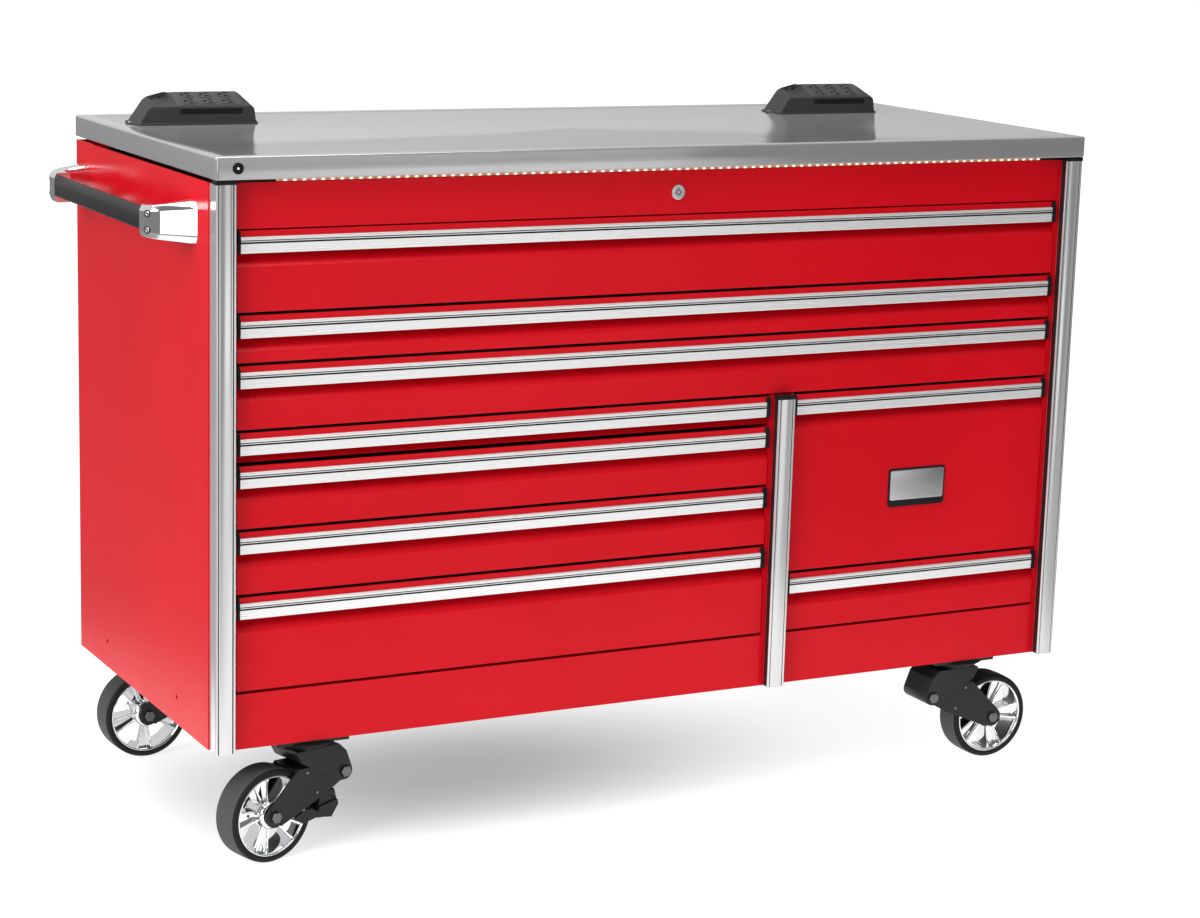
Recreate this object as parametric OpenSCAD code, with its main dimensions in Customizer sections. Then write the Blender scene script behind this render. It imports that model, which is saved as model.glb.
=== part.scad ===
// Rolling tool cabinet: drawers on telescopic slides in a folded sheet body, a sheet steel
// worktop, extruded trim posts, a side push handle and four sprung casters.
// Millimetres, Z up. The origin lies on the floor under the middle of the outline.
// X runs along the front, Y from the front to the back.

/* [Worktop] */
// Width of the worktop
worktop_w = 1727; // [1500:1:2000]
// Depth of the worktop
worktop_d = 750; // [720:1:900]
// Height of the worktop's skirt
skirt_h = 38.4; // [30:0.1:60]
// Sheet thickness of the worktop
top_sheet = 2; // [1.2:0.1:3]
// Width of the raised rim round the worktop
rim_w = 28; // [26:1:40]
// Depth of the field below the rim
field_drop = 1.5; // [0.5:0.1:2.5]
// Width of the hem folded in under the skirt
hem_w = 26; // [24:1:32]
// Height of the dark reveal between the skirt and the body
reveal_h = 6.6; // [5:0.1:12]

/* [Body] */
// Sheet thickness of the body panels
panel_sheet = 2; // [1.2:0.1:3]
// Step from the worktop's edge in to the side panels
side_inset = 2; // [0.5:0.5:10]
// Step from the worktop's back edge in to the back panel
back_inset = 2; // [1:0.5:20]
// Height of the header above the drawers
header_h = 76; // [60:0.5:120]
// Height of the base panel below the drawers
base_h = 99; // [70:0.5:140]
// Height of the body's bottom edge above the floor
ground_gap = 211; // [200:1:240]
// Width of the painted jamb beside each post
jamb_w = 6; // [4:0.5:15]
// Depth of the folded lips that carry the slides
lip_d = 60; // [30:1:90]
// Radius of the two accessory holes in the left side panel
side_hole_r = 4; // [2.5:0.5:6]
// Distance between the two accessory holes
side_hole_gap = 387; // [300:1:450]
// Height of the accessory holes above the body's bottom edge
side_hole_rise = 49; // [20:1:80]

/* [Trim posts] */
// Width of a trim post
post_w = 36; // [30:1:45]
// Depth of a corner post's outer leg
post_d = 38; // [30:1:50]
// Step from a post's beads in to its legs
post_neck = 2.5; // [2:0.5:4]
// Wall of a trim post
post_wall = 3; // [2:0.5:5]
// Step from the worktop's front edge in to the posts
post_setback = 2.5; // [1:0.5:8]
// How far the posts stand in front of the painted face
post_proud = 20; // [14:0.5:22]
// How far the posts reach below the body
post_drop = 0; // [0:0.5:6]
// Height of the cap on a post
cap_h = 7; // [4:0.5:10]

/* [Drawers] */
// Height of one drawer unit
unit = 28.1; // [27.5:0.1:32]
// Heights of the full-width drawers, in units
wide_units = [5, 3, 4]; // [3:1:8]
// Heights of the left bank's drawers, in units
left_units = [2, 4, 4, 6]; // [2:1:8]
// Height of the right bank's tall drawer, in units
tall_units = 12; // [6:1:12]
// Width of the left bank's opening
left_bank_w = 1028.5; // [800:0.5:1100]
// Gap between one drawer front and the next
drawer_gap = 5; // [3:0.5:8]
// Gap between a drawer front and the walls beside it
side_gap = 1.5; // [1:0.25:3]
// Sheet thickness of the drawers
drawer_sheet = 1.5; // [1:0.1:2]
// Depth of a drawer tray behind its front
tray_d = 680; // [560:1:690]
// Height of the tray floor above the front's bottom edge
tray_lift = 8; // [5:0.5:12]
// Step from the front's top edge down to the tray walls
tray_drop = 12; // [8:0.5:20]
// Depth of the finger recess behind the pull
recess_d = 18; // [10:0.5:22]
// Drop from a front's top edge to the crease below the recess
crease_drop = 61; // [54:0.5:70]

/* [Pulls] */
// Height of the painted strip above a pull
strip_h = 10.3; // [8:0.1:13]
// Height of a pull
pull_h = 28; // [24:0.5:30]
// How far a pull stands in front of the painted face
pull_proud = 4.5; // [3:0.5:8]
// Height of the land that a pull is fixed to
land_h = 9.7; // [8:0.1:12]
// Depth of the land behind the painted face
land_d = 3; // [2:0.5:5]
// Thickness of a pull's free lower edge
pull_wall = 4.5; // [3.5:0.5:5]
// Length of the black cap at each end of a pull
pull_cap_w = 9; // [5:0.5:15]

/* [Slides] */
// Height of the slides
slide_h = 36; // [32:1:38]
// Width taken up by one slide
slide_w = 12.7; // [11:0.1:15]
// Sheet thickness of the slide members
slide_sheet = 1.5; // [1:0.1:1.8]
// Running gap between slide members
slide_gap = 0.3; // [0.2:0.05:0.5]
// Length of the slides
slide_l = 650; // [480:1:665]

/* [Lock and light] */
// Radius of the lock's flange
lock_r = 13.2; // [10:0.1:18]
// Radius of the lock's turning plug
plug_r = 7.5; // [5:0.5:9]
// How far the lock stands in front of the painted face
lock_proud = 4; // [2:0.5:6]
// Depth of the lock behind the painted face
lock_d = 20; // [12:1:30]
// Drop from the body's top edge to the lock's axis
lock_drop = 37.5; // [25:0.5:50]
// Radius of the light switch's bezel
bezel_r = 9.5; // [7:0.5:12]
// How far the bezel stands in front of the skirt
bezel_proud = 1.5; // [0.5:0.5:3]
// Distance of the light switch from the worktop's left edge
switch_x = 38.5; // [25:0.5:80]
// Radius of the light switch's button
button_r = 5.5; // [3:0.5:6]
// Bare length between the light strip and the worktop's right edge
light_end = 97; // [60:1:200]
// Distance of the light strip from the worktop's left edge
light_x = 110; // [60:1:150]

/* [Handle] */
// Distance of the grip's axis from the side panel
grip_out = 65; // [55:1:100]
// Radius of the grip's rounded edges
grip_r = 15; // [10:0.5:18]
// Height of the grip
grip_h = 37; // [32:0.5:50]
// Length of the grip between its brackets
grip_l = 496; // [350:1:520]
// Distance of the front bracket from the worktop's front edge
bracket_y = 92; // [70:1:110]
// Distance from a bracket's far edge to the grip's end
bracket_w = 58; // [56:1:70]
// Width of a bracket at the side panel
bracket_foot = 45; // [38:1:50]
// Height of a bracket at the side panel
bracket_h = 70; // [60:1:80]
// Drop from the worktop's top to the grip's axis
grip_drop = 118; // [105:1:150]

/* [Power strips] */
// Length of a power strip
strip_l = 228; // [190:1:280]
// Depth of a power strip
strip_d = 75; // [70:1:110]
// Height of a power strip
strip_top = 55; // [48:1:70]
// Height of a power strip's front face
strip_front = 31; // [26:1:36]
// Distance of the left power strip from the worktop's left edge
strip_left_x = 48; // [30:1:120]
// Distance of the right power strip from the worktop's right edge
strip_right_x = 124; // [30:1:200]
// Distance of the power strips from the worktop's front edge
strip_y = 533; // [450:1:600]
// Length of a rocker switch
rocker_l = 24; // [16:1:28]
// Width of a rocker switch
rocker_w = 16; // [10:1:24]

/* [Casters] */
// Diameter of a wheel
wheel_d = 166.6; // [150:0.1:176]
// Width of a tyre
tyre_w = 55; // [40:1:58]
// Thickness of a tyre's rubber
tyre_t = 12; // [8:0.5:18]
// Number of twin spokes in a rim
spokes = 5; // [3:1:7]
// Radius of the axles and pivot bolts
bolt_r = 6; // [4:0.5:8]
// Running clearance round the bolts
bolt_fit = 0.05; // [0.02:0.01:0.1]
// Distance from the swivel axis back to the axle
trail = 82; // [76:1:92]
// Distance from the axle forward to the arm's pivot
arm_l = 145; // [140:1:155]
// Height of the arm's pivot above the axle
pivot_rise = 56; // [50:1:58]
// Thickness of the arm and fork plates
plate_t = 4; // [3:0.5:6]
// Distance of the front casters' axes from the worktop's front edge
caster_front_y = 73; // [71:1:120]
// Distance of the rear casters' axes from the worktop's back edge
caster_rear_y = 50; // [49:1:120]
// Distance of the swivel axes from the worktop's left edge
caster_left_x = 186; // [180:1:260]
// Distance of the rigid casters' axes from the worktop's right edge
caster_right_x = 193; // [180:1:260]
// Angle at which the front swivel caster stands
swivel_front = 15; // [-180:1:180]
// Angle at which the rear swivel caster stands
swivel_rear = 4; // [-180:1:180]

/* [Hidden] */
$fn = 48;

// Small clearance that keeps separate solids of one node apart
seam = 0.1;

// Outline in plan: the grip widens it on the left, the bezel at the front
grip_reach = grip_out + grip_r - side_inset;
left_x = (grip_reach - worktop_w) / 2;
right_x = left_x + worktop_w;
front_y = (bezel_proud - worktop_d) / 2;
rear_y = front_y + worktop_d;

// Planes of the body
side_l = left_x + side_inset;
side_r = right_x - side_inset;
post_y = front_y + post_setback;
face_y = post_y + post_proud;
frame_y = face_y + panel_sheet;
post_back = post_y + post_d;
back_out = rear_y - back_inset;
back_in = back_out - panel_sheet;
wall_l = side_l + post_w + jamb_w;
wall_r = side_r - post_w - jamb_w;
mid_l = wall_l + left_bank_w;
mid_post_l = mid_l + jamb_w;
mid_r = mid_post_l + post_w + jamb_w;

// Levels of the body
function total(v, n) = n <= 0 ? 0 : v[n - 1] + total(v, n - 1);
wide_total = total(wide_units, 3);
bank_total = total(left_units, 4);
right_units = [tall_units, bank_total - tall_units];
body_z0 = ground_gap;
drawers_z0 = body_z0 + base_h;
base_z1 = drawers_z0 - drawer_gap / 2;
split_z = drawers_z0 + bank_total * unit;
drawers_z1 = split_z + wide_total * unit;
body_z1 = drawers_z1 + header_h;
skirt_z0 = body_z1 + reveal_h;
top_z = skirt_z0 + skirt_h;
field_z = top_z - field_drop;

// Drawers are numbered from 0: three wide ones, four on the left, two on the right
function is_wide(i) = i < 3;
function is_left(i) = i >= 3 && i < 7;
function units_of(i) = is_wide(i) ? wide_units[i] : is_left(i) ? left_units[i - 3] : right_units[i - 7];
function units_above(i) = is_wide(i) ? total(wide_units, i)
  : wide_total + (is_left(i) ? total(left_units, i - 3) : total(right_units, i - 7));
function bank_l(i) = i >= 7 ? mid_r : wall_l;
function bank_r(i) = is_left(i) ? mid_l : wall_r;
function front_top(i) = drawers_z1 - units_above(i) * unit - drawer_gap / 2;
function front_h(i) = units_of(i) * unit - drawer_gap;
function tray_z(i) = front_top(i) - front_h(i) + tray_lift;
function slide_z(i) = tray_z(i) + slide_h / 2 - slide_sheet - slide_gap;

// Draws a profile given in Y and Z along X, from x0 to x1
module along_x(x0, x1) {
  translate([x0, 0, 0]) rotate([90, 0, 90]) linear_extrude(x1 - x0) children();
}

// Draws a profile given in X and Z along Y, from y0 to y1
module along_y(y0, y1) {
  translate([0, y1, 0]) rotate([90, 0, 0]) linear_extrude(y1 - y0) children();
}

// Draws a plan along Z, from z0 to z1
module along_z(z0, z1) {
  translate([0, 0, z0]) linear_extrude(z1 - z0) children();
}

// A rectangle between two corners
module rect(a, b) {
  translate(a) square(b - a);
}

// A block between two corners
module block(a, b) {
  translate(a) cube(b - a);
}

// A rod along Y, from y0 to y1
module rod_y(y0, y1, r, fn = 48) {
  translate([0, y1, 0]) rotate([90, 0, 0]) cylinder(h = y1 - y0, r = r, $fn = fn);
}

// Body

// Folded plan of a side panel's returns and lips; s runs inwards from the outer face
module side_returns_plan(w) {
  rect([0, post_back], [w, post_back + panel_sheet]);
  rect([w - panel_sheet, frame_y], [w, frame_y + lip_d]);
  rect([0, back_in - panel_sheet], [w, back_in]);
  rect([w - panel_sheet, back_in - lip_d], [w, back_in]);
}

module side_panel_shape(w) {
  along_z(body_z0, body_z1) rect([0, post_back], [panel_sheet, back_in]);
  along_z(body_z0 + panel_sheet, body_z1) side_returns_plan(w);
}

// The accessory holes lie evenly about the middle of the body
side_hole_mid = (post_back + back_in) / 2;

module left_side_panel() {
  color("firebrick") difference() {
    translate([side_l, 0, 0]) side_panel_shape(wall_l - side_l);
    for (s = [-1, 1])
      translate([side_l - 1, side_hole_mid + s * side_hole_gap / 2, body_z0 + side_hole_rise])
        rotate([0, 90, 0]) cylinder(h = panel_sheet + 2, r = side_hole_r);
  }
}

module right_side_panel() {
  color("firebrick") translate([side_r, 0, 0]) mirror([1, 0, 0]) side_panel_shape(side_r - wall_r);
}

module back_panel() {
  color("firebrick") along_y(back_in, back_out) rect([side_l, body_z0], [side_r, body_z1]);
}

module floor_pan() {
  inner = post_neck + post_wall;
  color("black") {
    block([side_l + panel_sheet, post_back, body_z0], [side_r - panel_sheet, back_in, body_z0 + panel_sheet]);
    block([side_l + inner, frame_y, body_z0], [side_r - inner, post_back, body_z0 + panel_sheet]);
  }
}

// The painted front: header, jambs and base in one plane, folded back at the openings
frame_return = 20;

module front_frame() {
  color("firebrick") {
    difference() {
      along_y(face_y, frame_y) difference() {
        rect([side_l + post_neck + post_wall, body_z0], [side_r - post_neck - post_wall, body_z1]);
        rect([wall_l, split_z], [wall_r, drawers_z1]);
        rect([wall_l, base_z1], [mid_l, split_z + seam]);
        rect([mid_r, base_z1], [wall_r, split_z + seam]);
      }
      translate([(side_l + side_r) / 2, 0, body_z1 - lock_drop]) rod_y(face_y - 1, frame_y + 1, plug_r + 2 + seam);
    }
    block([wall_l, frame_y, drawers_z1], [wall_r, frame_y + frame_return, drawers_z1 + panel_sheet]);
    for (x = [[wall_l, mid_l], [mid_r, wall_r]])
      block([x[0], frame_y, base_z1 - panel_sheet], [x[1], frame_y + frame_return, base_z1]);
  }
}

module bank_divider() {
  color("firebrick") along_z(body_z0 + panel_sheet, split_z) difference() {
    rect([mid_l, frame_y], [mid_r, back_in]);
    rect([mid_l + panel_sheet, frame_y + panel_sheet], [mid_r - panel_sheet, back_in - panel_sheet]);
  }
}

// Worktop

module worktop() {
  color("silver") difference() {
    union() {
      difference() {
        block([left_x, front_y, skirt_z0], [right_x, rear_y, top_z]);
        block([left_x + top_sheet, front_y + top_sheet, skirt_z0 - 1],
              [right_x - top_sheet, rear_y - top_sheet, field_z - top_sheet]);
      }
      difference() {
        block([left_x, front_y, skirt_z0], [right_x, rear_y, skirt_z0 + top_sheet]);
        block([left_x + hem_w, front_y + hem_w, skirt_z0 - 1],
              [right_x - hem_w, rear_y - hem_w, skirt_z0 + top_sheet + 1]);
      }
    }
    block([left_x + rim_w, front_y + rim_w, field_z], [right_x - rim_w, rear_y - rim_w, top_z + 1]);
    translate([left_x + switch_x, 0, skirt_z0 + skirt_h / 2])
      rod_y(front_y - 1, front_y + top_sheet + 1, bezel_r - 2);
  }
}

module worktop_core() {
  color("dimgray")
    block([left_x + hem_w, front_y + hem_w, body_z1],
          [right_x - hem_w, rear_y - hem_w, field_z - top_sheet]);
}

// The light strip hangs under the hem, in front of the painted face
light_h = 4;
light_d = 9;
light_in = 9;
light_l = worktop_w - light_x - light_end;

module light_strip() {
  color("ivory") block([left_x + light_x, front_y + light_in, skirt_z0 - light_h],
                       [left_x + light_x + light_l, front_y + light_in + light_d, skirt_z0]);
}

// Trim posts

bead_r = 2;
cap_gap = 0.6;
post_z1 = skirt_z0 - cap_gap - cap_h;
groove_r = 1;
crown = 1.2;
groove_in = 5.2;
band_in = 6.4;

// Front bar of a post: a bead at each edge, two grooves and a crowned band between them
module post_bar_plan() {
  band = post_w - 2 * band_in;
  rise = crown + 0.4;
  crown_r = (band * band / 4 + rise * rise) / (2 * rise);
  difference() {
    union() {
      rect([bead_r, crown], [post_w - bead_r, crown + 2 * bead_r]);
      for (x = [bead_r, post_w - bead_r]) translate([x, crown + bead_r]) circle(bead_r);
      intersection() {
        translate([post_w / 2, crown_r]) circle(crown_r, $fn = 180);
        rect([band_in, -1], [post_w - band_in, crown + bead_r]);
      }
    }
    for (x = [groove_in, post_w - groove_in]) translate([x, crown - 0.2]) circle(groove_r);
  }
}

// Corner post: the outer leg wraps the side panel, the inner leg stops at the painted face
module corner_post_plan() {
  post_bar_plan();
  rect([post_neck, crown + 1.5 * bead_r], [post_neck + post_wall, post_d]);
  rect([post_w - post_neck - post_wall, crown + 1.5 * bead_r], [post_w - post_neck, post_proud]);
}

module centre_post_plan() {
  post_bar_plan();
  for (x = [post_neck, post_w - post_neck - post_wall])
    rect([x, crown + 1.5 * bead_r], [x + post_wall, post_proud]);
}

module trim_posts() {
  color("gainsboro") {
    along_z(body_z0 - post_drop, post_z1) translate([side_l, post_y]) corner_post_plan();
    along_z(body_z0 - post_drop, post_z1) translate([side_r, post_y]) mirror([1, 0]) corner_post_plan();
    along_z(body_z0 - post_drop, split_z - cap_h) translate([mid_post_l, post_y]) centre_post_plan();
  }
}

module post_caps() {
  color("black") {
    for (x = [side_l, side_r - post_w])
      along_z(post_z1, skirt_z0 - cap_gap) rect([x, post_y], [x + post_w, face_y]);
    along_z(split_z - cap_h, split_z) rect([mid_post_l, post_y], [mid_post_l + post_w, face_y]);
  }
}

// Slides

// Section of one slide channel: s runs from the wall towards the tray
module channel(s0, s1, web_s, half) {
  rect([web_s, -half], [web_s + slide_sheet, half]);
  for (z = [-half, half - slide_sheet]) rect([s0, z], [s1, z + slide_sheet]);
}

member_step = slide_sheet + slide_gap;
slide_half = slide_h / 2;

module rail_section() {
  channel(0, slide_w - 1, 0, slide_half);
}

module middle_section() {
  channel(member_step, slide_w - 1, member_step, slide_half - member_step);
}

module tray_member_section() {
  channel(2 * member_step, slide_w, slide_w - slide_sheet, slide_half - 2 * member_step);
}

// The slides start behind the finger recess
slide_y = face_y + recess_d + 2 * drawer_sheet + 1;

// Places a slide section at both sides of a drawer
module at_both_sides(i) {
  along_y(slide_y, slide_y + slide_l) {
    translate([bank_l(i), slide_z(i)]) children();
    translate([bank_r(i), slide_z(i)]) mirror([1, 0]) children();
  }
}

module cabinet_rails() {
  color("lightgray") for (i = [0:8]) at_both_sides(i) rail_section();
}

module slide(i) {
  color("silver") at_both_sides(i) middle_section();
}

// Drawers

land_z = strip_h + land_h;
recess_top = 4;
recess_low = pull_h + strip_h + 0.7;

// Folded section of a drawer front: the painted strip, the land that the pull is fixed to, the
// finger recess, its slope down to the crease and the flat face below it.
// Y runs inwards from the painted face, Z down from the top edge.
module front_section(h) {
  t = drawer_sheet;
  low = max(h, crease_drop) + 1;
  outside = [[0, 0], [0, -strip_h], [land_d, -strip_h], [land_d, -land_z], [recess_d, -land_z - recess_top],
             [recess_d, -recess_low], [0, -crease_drop], [0, -low]];
  inside = [[t, -low], [t, -crease_drop - t / 2], [recess_d + t, -recess_low - t / 2],
            [recess_d + t, -land_z - recess_top + t], [land_d + t, -land_z + t], [land_d + t, -strip_h + t],
            [t, -strip_h + t], [t, 0]];
  intersection() {
    polygon(concat(outside, inside));
    rect([0, -h], [recess_d + 2 * t, 0]);
  }
}

// Half depth of the bottom fold that carries the tray floor
fold_d = 22;

module drawer(i) {
  t = drawer_sheet;
  x0 = bank_l(i) + side_gap;
  x1 = bank_r(i) - side_gap;
  tray_l = bank_l(i) + slide_w;
  tray_r = bank_r(i) - slide_w;
  low = front_top(i) - front_h(i);
  wall_z = front_top(i) - tray_drop;
  inner_y = face_y + recess_d + 2 * t;
  end_y = face_y + tray_d;
  fold_y = face_y + recess_d + fold_d;
  color("firebrick") {
    along_x(x0, x1) translate([face_y, front_top(i)]) front_section(front_h(i));
    block([x0, face_y + recess_d * 0.5, low], [x1, fold_y, low + t]);
    block([tray_l, fold_y - t, low], [tray_r, fold_y, tray_z(i) + t]);
    block([tray_l, inner_y, tray_z(i)], [tray_r, end_y, tray_z(i) + t]);
    block([x0, face_y + land_d, wall_z], [x1, inner_y, wall_z + t]);
    block([tray_l, inner_y - t, tray_z(i)], [tray_r, inner_y, wall_z + t]);
    for (x = [tray_l, tray_r - t]) block([x, inner_y - t, tray_z(i)], [x + t, end_y, wall_z]);
    block([tray_l, end_y - t, tray_z(i)], [tray_r, end_y, wall_z]);
    at_both_sides(i) tray_member_section();
  }
}

// Pulls

pull_grooves = [6.3, 10, 26];
pull_groove_r = 0.85;

// Section of a pull: a thick land at the top, a free lower edge and three grooves in its face
module pull_section() {
  nose_r = pull_wall / 2;
  difference() {
    union() {
      rect([-pull_proud, -land_h], [land_d, -nose_r]);
      rect([-pull_proud + nose_r, -land_h], [land_d, 0]);
      translate([-pull_proud + nose_r, -nose_r]) circle(nose_r);
      rect([-pull_proud, -pull_h + nose_r], [-pull_proud + pull_wall, -land_h]);
      translate([-pull_proud + nose_r, -pull_h + nose_r]) circle(nose_r);
    }
    for (z = pull_grooves) translate([-pull_proud, -z]) circle(pull_groove_r, $fn = 24);
  }
}

// Section of a pull's end cap, which also covers the end of the painted strip
module pull_cap_section() {
  cap_y = pull_proud + 0.5;
  polygon([[0, 0], [-cap_y / 3, 0], [-cap_y, -strip_h], [-cap_y, -strip_h - pull_h],
           [-pull_proud + pull_wall, -strip_h - pull_h], [-pull_proud + pull_wall, -land_z],
           [land_d, -land_z], [land_d, -strip_h], [0, -strip_h]]);
}

module pull(i) {
  x0 = bank_l(i) + side_gap;
  x1 = bank_r(i) - side_gap;
  color("gainsboro") along_x(x0 + pull_cap_w + seam, x1 - pull_cap_w - seam)
    translate([face_y, front_top(i) - strip_h]) pull_section();
  color("black") for (x = [x0, x1 - pull_cap_w])
    along_x(x, x + pull_cap_w) translate([face_y, front_top(i)]) pull_cap_section();
}

// Lock and light switch

keyway_r = 3.4;
keyway_w = 1.3;
keyway_d = 6;

module at_lock() {
  translate([(side_l + side_r) / 2, 0, body_z1 - lock_drop]) children();
}

module lock_housing() {
  color("silver") at_lock() difference() {
    union() {
      rod_y(face_y - lock_proud, face_y, lock_r);
      rod_y(face_y - 1, face_y + lock_d, plug_r + 2);
    }
    rod_y(face_y - lock_proud - 1, face_y + lock_d + 1, plug_r + bolt_fit);
  }
}

module lock_plug() {
  color("gray") at_lock() difference() {
    rod_y(face_y - lock_proud - 0.5, face_y + lock_d, plug_r);
    difference() {
      rod_y(face_y - lock_proud - 1, face_y - lock_proud + keyway_d, keyway_r + keyway_w);
      rod_y(face_y - lock_proud - 2, face_y - lock_proud + keyway_d + 1, keyway_r);
    }
    block([-keyway_w / 2, face_y - lock_proud - 1, keyway_r],
          [keyway_w / 2, face_y - lock_proud + keyway_d, plug_r - 1]);
  }
}

bezel_d = 12;

module at_switch() {
  translate([left_x + switch_x, 0, skirt_z0 + skirt_h / 2]) children();
}

module switch_bezel() {
  color("black") at_switch() difference() {
    union() {
      rod_y(front_y - bezel_proud, front_y, bezel_r);
      rod_y(front_y - 0.5, front_y + bezel_d, bezel_r - 2);
    }
    rod_y(front_y - bezel_proud - 1, front_y + bezel_d - 2, button_r + bolt_fit);
  }
}

// Room behind the button for its travel
button_room = 3;

module light_button() {
  color("dimgray") at_switch()
    rod_y(front_y - bezel_proud + 0.2, front_y + bezel_d - 2 - button_room, button_r);
}

// Side handle

grip_x = side_l - grip_out;
grip_z = top_z - grip_drop;
grip_y0 = front_y + bracket_y + bracket_w;

module grip_section() {
  half = grip_h / 2 - grip_r;
  rect([grip_x - grip_r, grip_z - half], [grip_x + grip_r, grip_z + half]);
  for (s = [-1, 1]) translate([grip_x, grip_z + s * half]) circle(grip_r);
}

module handle_grip() {
  color("dimgray") along_y(grip_y0, grip_y0 + grip_l) grip_section();
}

bracket_bend = 56;
bracket_pad = 7;
bracket_wall = 8;
inner_bend = 13;

// Plan of a bracket: x out from the side panel, y along it towards the grip
module bracket_plan() {
  reach = grip_out + grip_r;
  inner = reach - 2 * grip_r;
  difference() {
    union() {
      rect([0, 0], [reach - bracket_bend, bracket_w]);
      translate([reach - bracket_bend, bracket_bend]) intersection() {
        circle(bracket_bend, $fn = 96);
        rect([-1, -bracket_bend], [bracket_bend, 0]);
      }
      rect([inner - inner_bend, bracket_bend - 1], [reach, bracket_w]);
    }
    rect([-1, bracket_foot], [inner - inner_bend, bracket_w + 1]);
    translate([inner - inner_bend, bracket_foot + inner_bend]) circle(inner_bend);
    rect([inner - inner_bend - 1, bracket_foot + inner_bend], [inner, bracket_w + 1]);
  }
}

// Side of a bracket: tall at the side panel, a little taller than the grip at its end
module bracket_side() {
  reach = grip_out + grip_r;
  end_h = grip_h / 2 + bracket_wall;
  polygon([[0, -bracket_h / 2], [0, bracket_h / 2], [bracket_pad, bracket_h / 2], [reach, end_h],
           [reach, -end_h], [bracket_pad, -bracket_h / 2]]);
}

module bracket() {
  intersection() {
    along_z(-bracket_h, bracket_h) bracket_plan();
    along_y(-bracket_w, 2 * bracket_w) bracket_side();
  }
}

module handle_brackets() {
  color("lightgray") {
    translate([side_l, front_y + bracket_y, grip_z]) mirror([1, 0, 0]) bracket();
    translate([side_l, grip_y0 + grip_l + bracket_w, grip_z]) rotate([0, 0, 180]) bracket();
  }
}

// Power strips

foot_h = 4;
ear_r = 9;
ear_hole_r = 2.5;
ramp_x = 32;
ramp_l = 41;
ramp_rise = 10;
ramp_angle = atan(ramp_rise / ramp_l);
end_chamfer = 16;
ramp_set = 5;
rocker_fit = 0.4;
rocker_deep = 7;
ramp_rim = 3;

// Front view of a strip: steep left end, switch ramp, level top, chamfered right end
module strip_front_view() {
  shoulder = strip_top - ramp_rise;
  polygon([[5, foot_h], [ramp_x, shoulder], [ramp_x + ramp_l, strip_top],
           [strip_l - end_chamfer - 4, strip_top], [strip_l - 6, strip_front - 4], [strip_l - 4, foot_h]]);
}

// Side view of a strip: upright front, bevel, top rising to the back
module strip_side_view() {
  bevel = 2;
  polygon([[3, foot_h], [5, strip_front], [5 + bevel, strip_front + bevel], [strip_d - 16, strip_top],
           [strip_d - 10, strip_top], [strip_d - 3, foot_h]]);
}

// Places the rocker's axis on the ramp, X along the ramp, Z square to it
module at_ramp() {
  mid = ramp_l / 2;
  translate([ramp_x + mid, strip_d - 26, strip_top - ramp_rise / 2 - ramp_set])
    rotate([0, -ramp_angle, 0]) children();
}

module strip_housing() {
  difference() {
    union() {
      intersection() {
        along_y(0, strip_d) strip_front_view();
        along_x(0, strip_l) strip_side_view();
      }
      block([0, 0, 0], [strip_l, strip_d, foot_h]);
      for (x = [0, strip_l]) translate([x, strip_d / 2, 0]) cylinder(h = foot_h, r = ear_r);
    }
    for (x = [-ear_r / 3, strip_l + ear_r / 3])
      translate([x, strip_d / 2, -1]) cylinder(h = foot_h + 2, r = ear_hole_r);
    at_ramp() translate([-rocker_l / 2 - rocker_fit, -rocker_w / 2 - rocker_fit, -rocker_deep])
      cube([rocker_l + 2 * rocker_fit, rocker_w + 2 * rocker_fit, 3 * rocker_deep]);
    at_ramp() translate([-rocker_l / 2 - ramp_rim, -rocker_w / 2 - ramp_rim, 0])
      cube([rocker_l + 2 * ramp_rim, rocker_w + 2 * ramp_rim, 3 * rocker_deep]);
  }
}

module at_left_strip() {
  translate([left_x + strip_left_x, front_y + strip_y, field_z]) children();
}

module at_right_strip() {
  translate([right_x - strip_right_x - strip_l, front_y + strip_y, field_z]) children();
}

module power_strips() {
  color("dimgray") {
    at_left_strip() strip_housing();
    at_right_strip() strip_housing();
  }
}

rocker_tilt = 7;

// Rocker: a shallow V on top, round below, pressed down at one end
module rocker() {
  wing = rocker_l / 2 - 0.6;
  thick = 2.4;
  rocker_axis = -1.2;
  rotate([0, rocker_tilt, 0]) translate([0, 0, rocker_axis]) {
    along_y(-rocker_w / 2, rocker_w / 2) {
      polygon([[-wing, thick], [0, thick - 0.8], [wing, thick], [wing, 0],
               [3, -2.4], [-3, -2.4], [-wing, 0]]);
    }
    rod_y(-rocker_w / 2, rocker_w / 2, rocker_deep - 2);
  }
}

module rocker_left() {
  color("black") at_left_strip() at_ramp() rocker();
}

module rocker_right() {
  color("black") at_right_strip() at_ramp() rocker();
}

// Casters: 0 front left, 1 rear left, 2 front right, 3 rear right

wheel_r = wheel_d / 2;
foot_l = 134;
foot_w = 96;
foot_t = 6;
foot_bolt_x = 116;
foot_bolt_y = 78;
foot_bolt_r = 5.5;
race_h = 14;
race_low = 42;
race_mid = 52;
race_top = 62;
race_gap = 0.4;
king_r = 10;
wheel_gap = 3.5;
fork_gap = 0.5;
arm_in = tyre_w / 2 + wheel_gap;
arm_out = arm_in + plate_t;
cheek_in = arm_out + fork_gap;
cheek_out = cheek_in + plate_t;
web_z1 = body_z0 - foot_t - race_h;
web_t = 6;
pivot_x = arm_l - trail;
pivot_z = wheel_r + pivot_rise;
pivot_eye = 15.5;
arm_eye = 12;
axle_eye = 19;

function caster_x(i) = i < 2 ? left_x + caster_left_x : right_x - caster_right_x;
function caster_y(i) = i % 2 == 0 ? front_y + caster_front_y : rear_y - caster_rear_y;
function caster_turn(i) = i == 0 ? swivel_front : i == 1 ? swivel_rear : 180;
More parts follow.
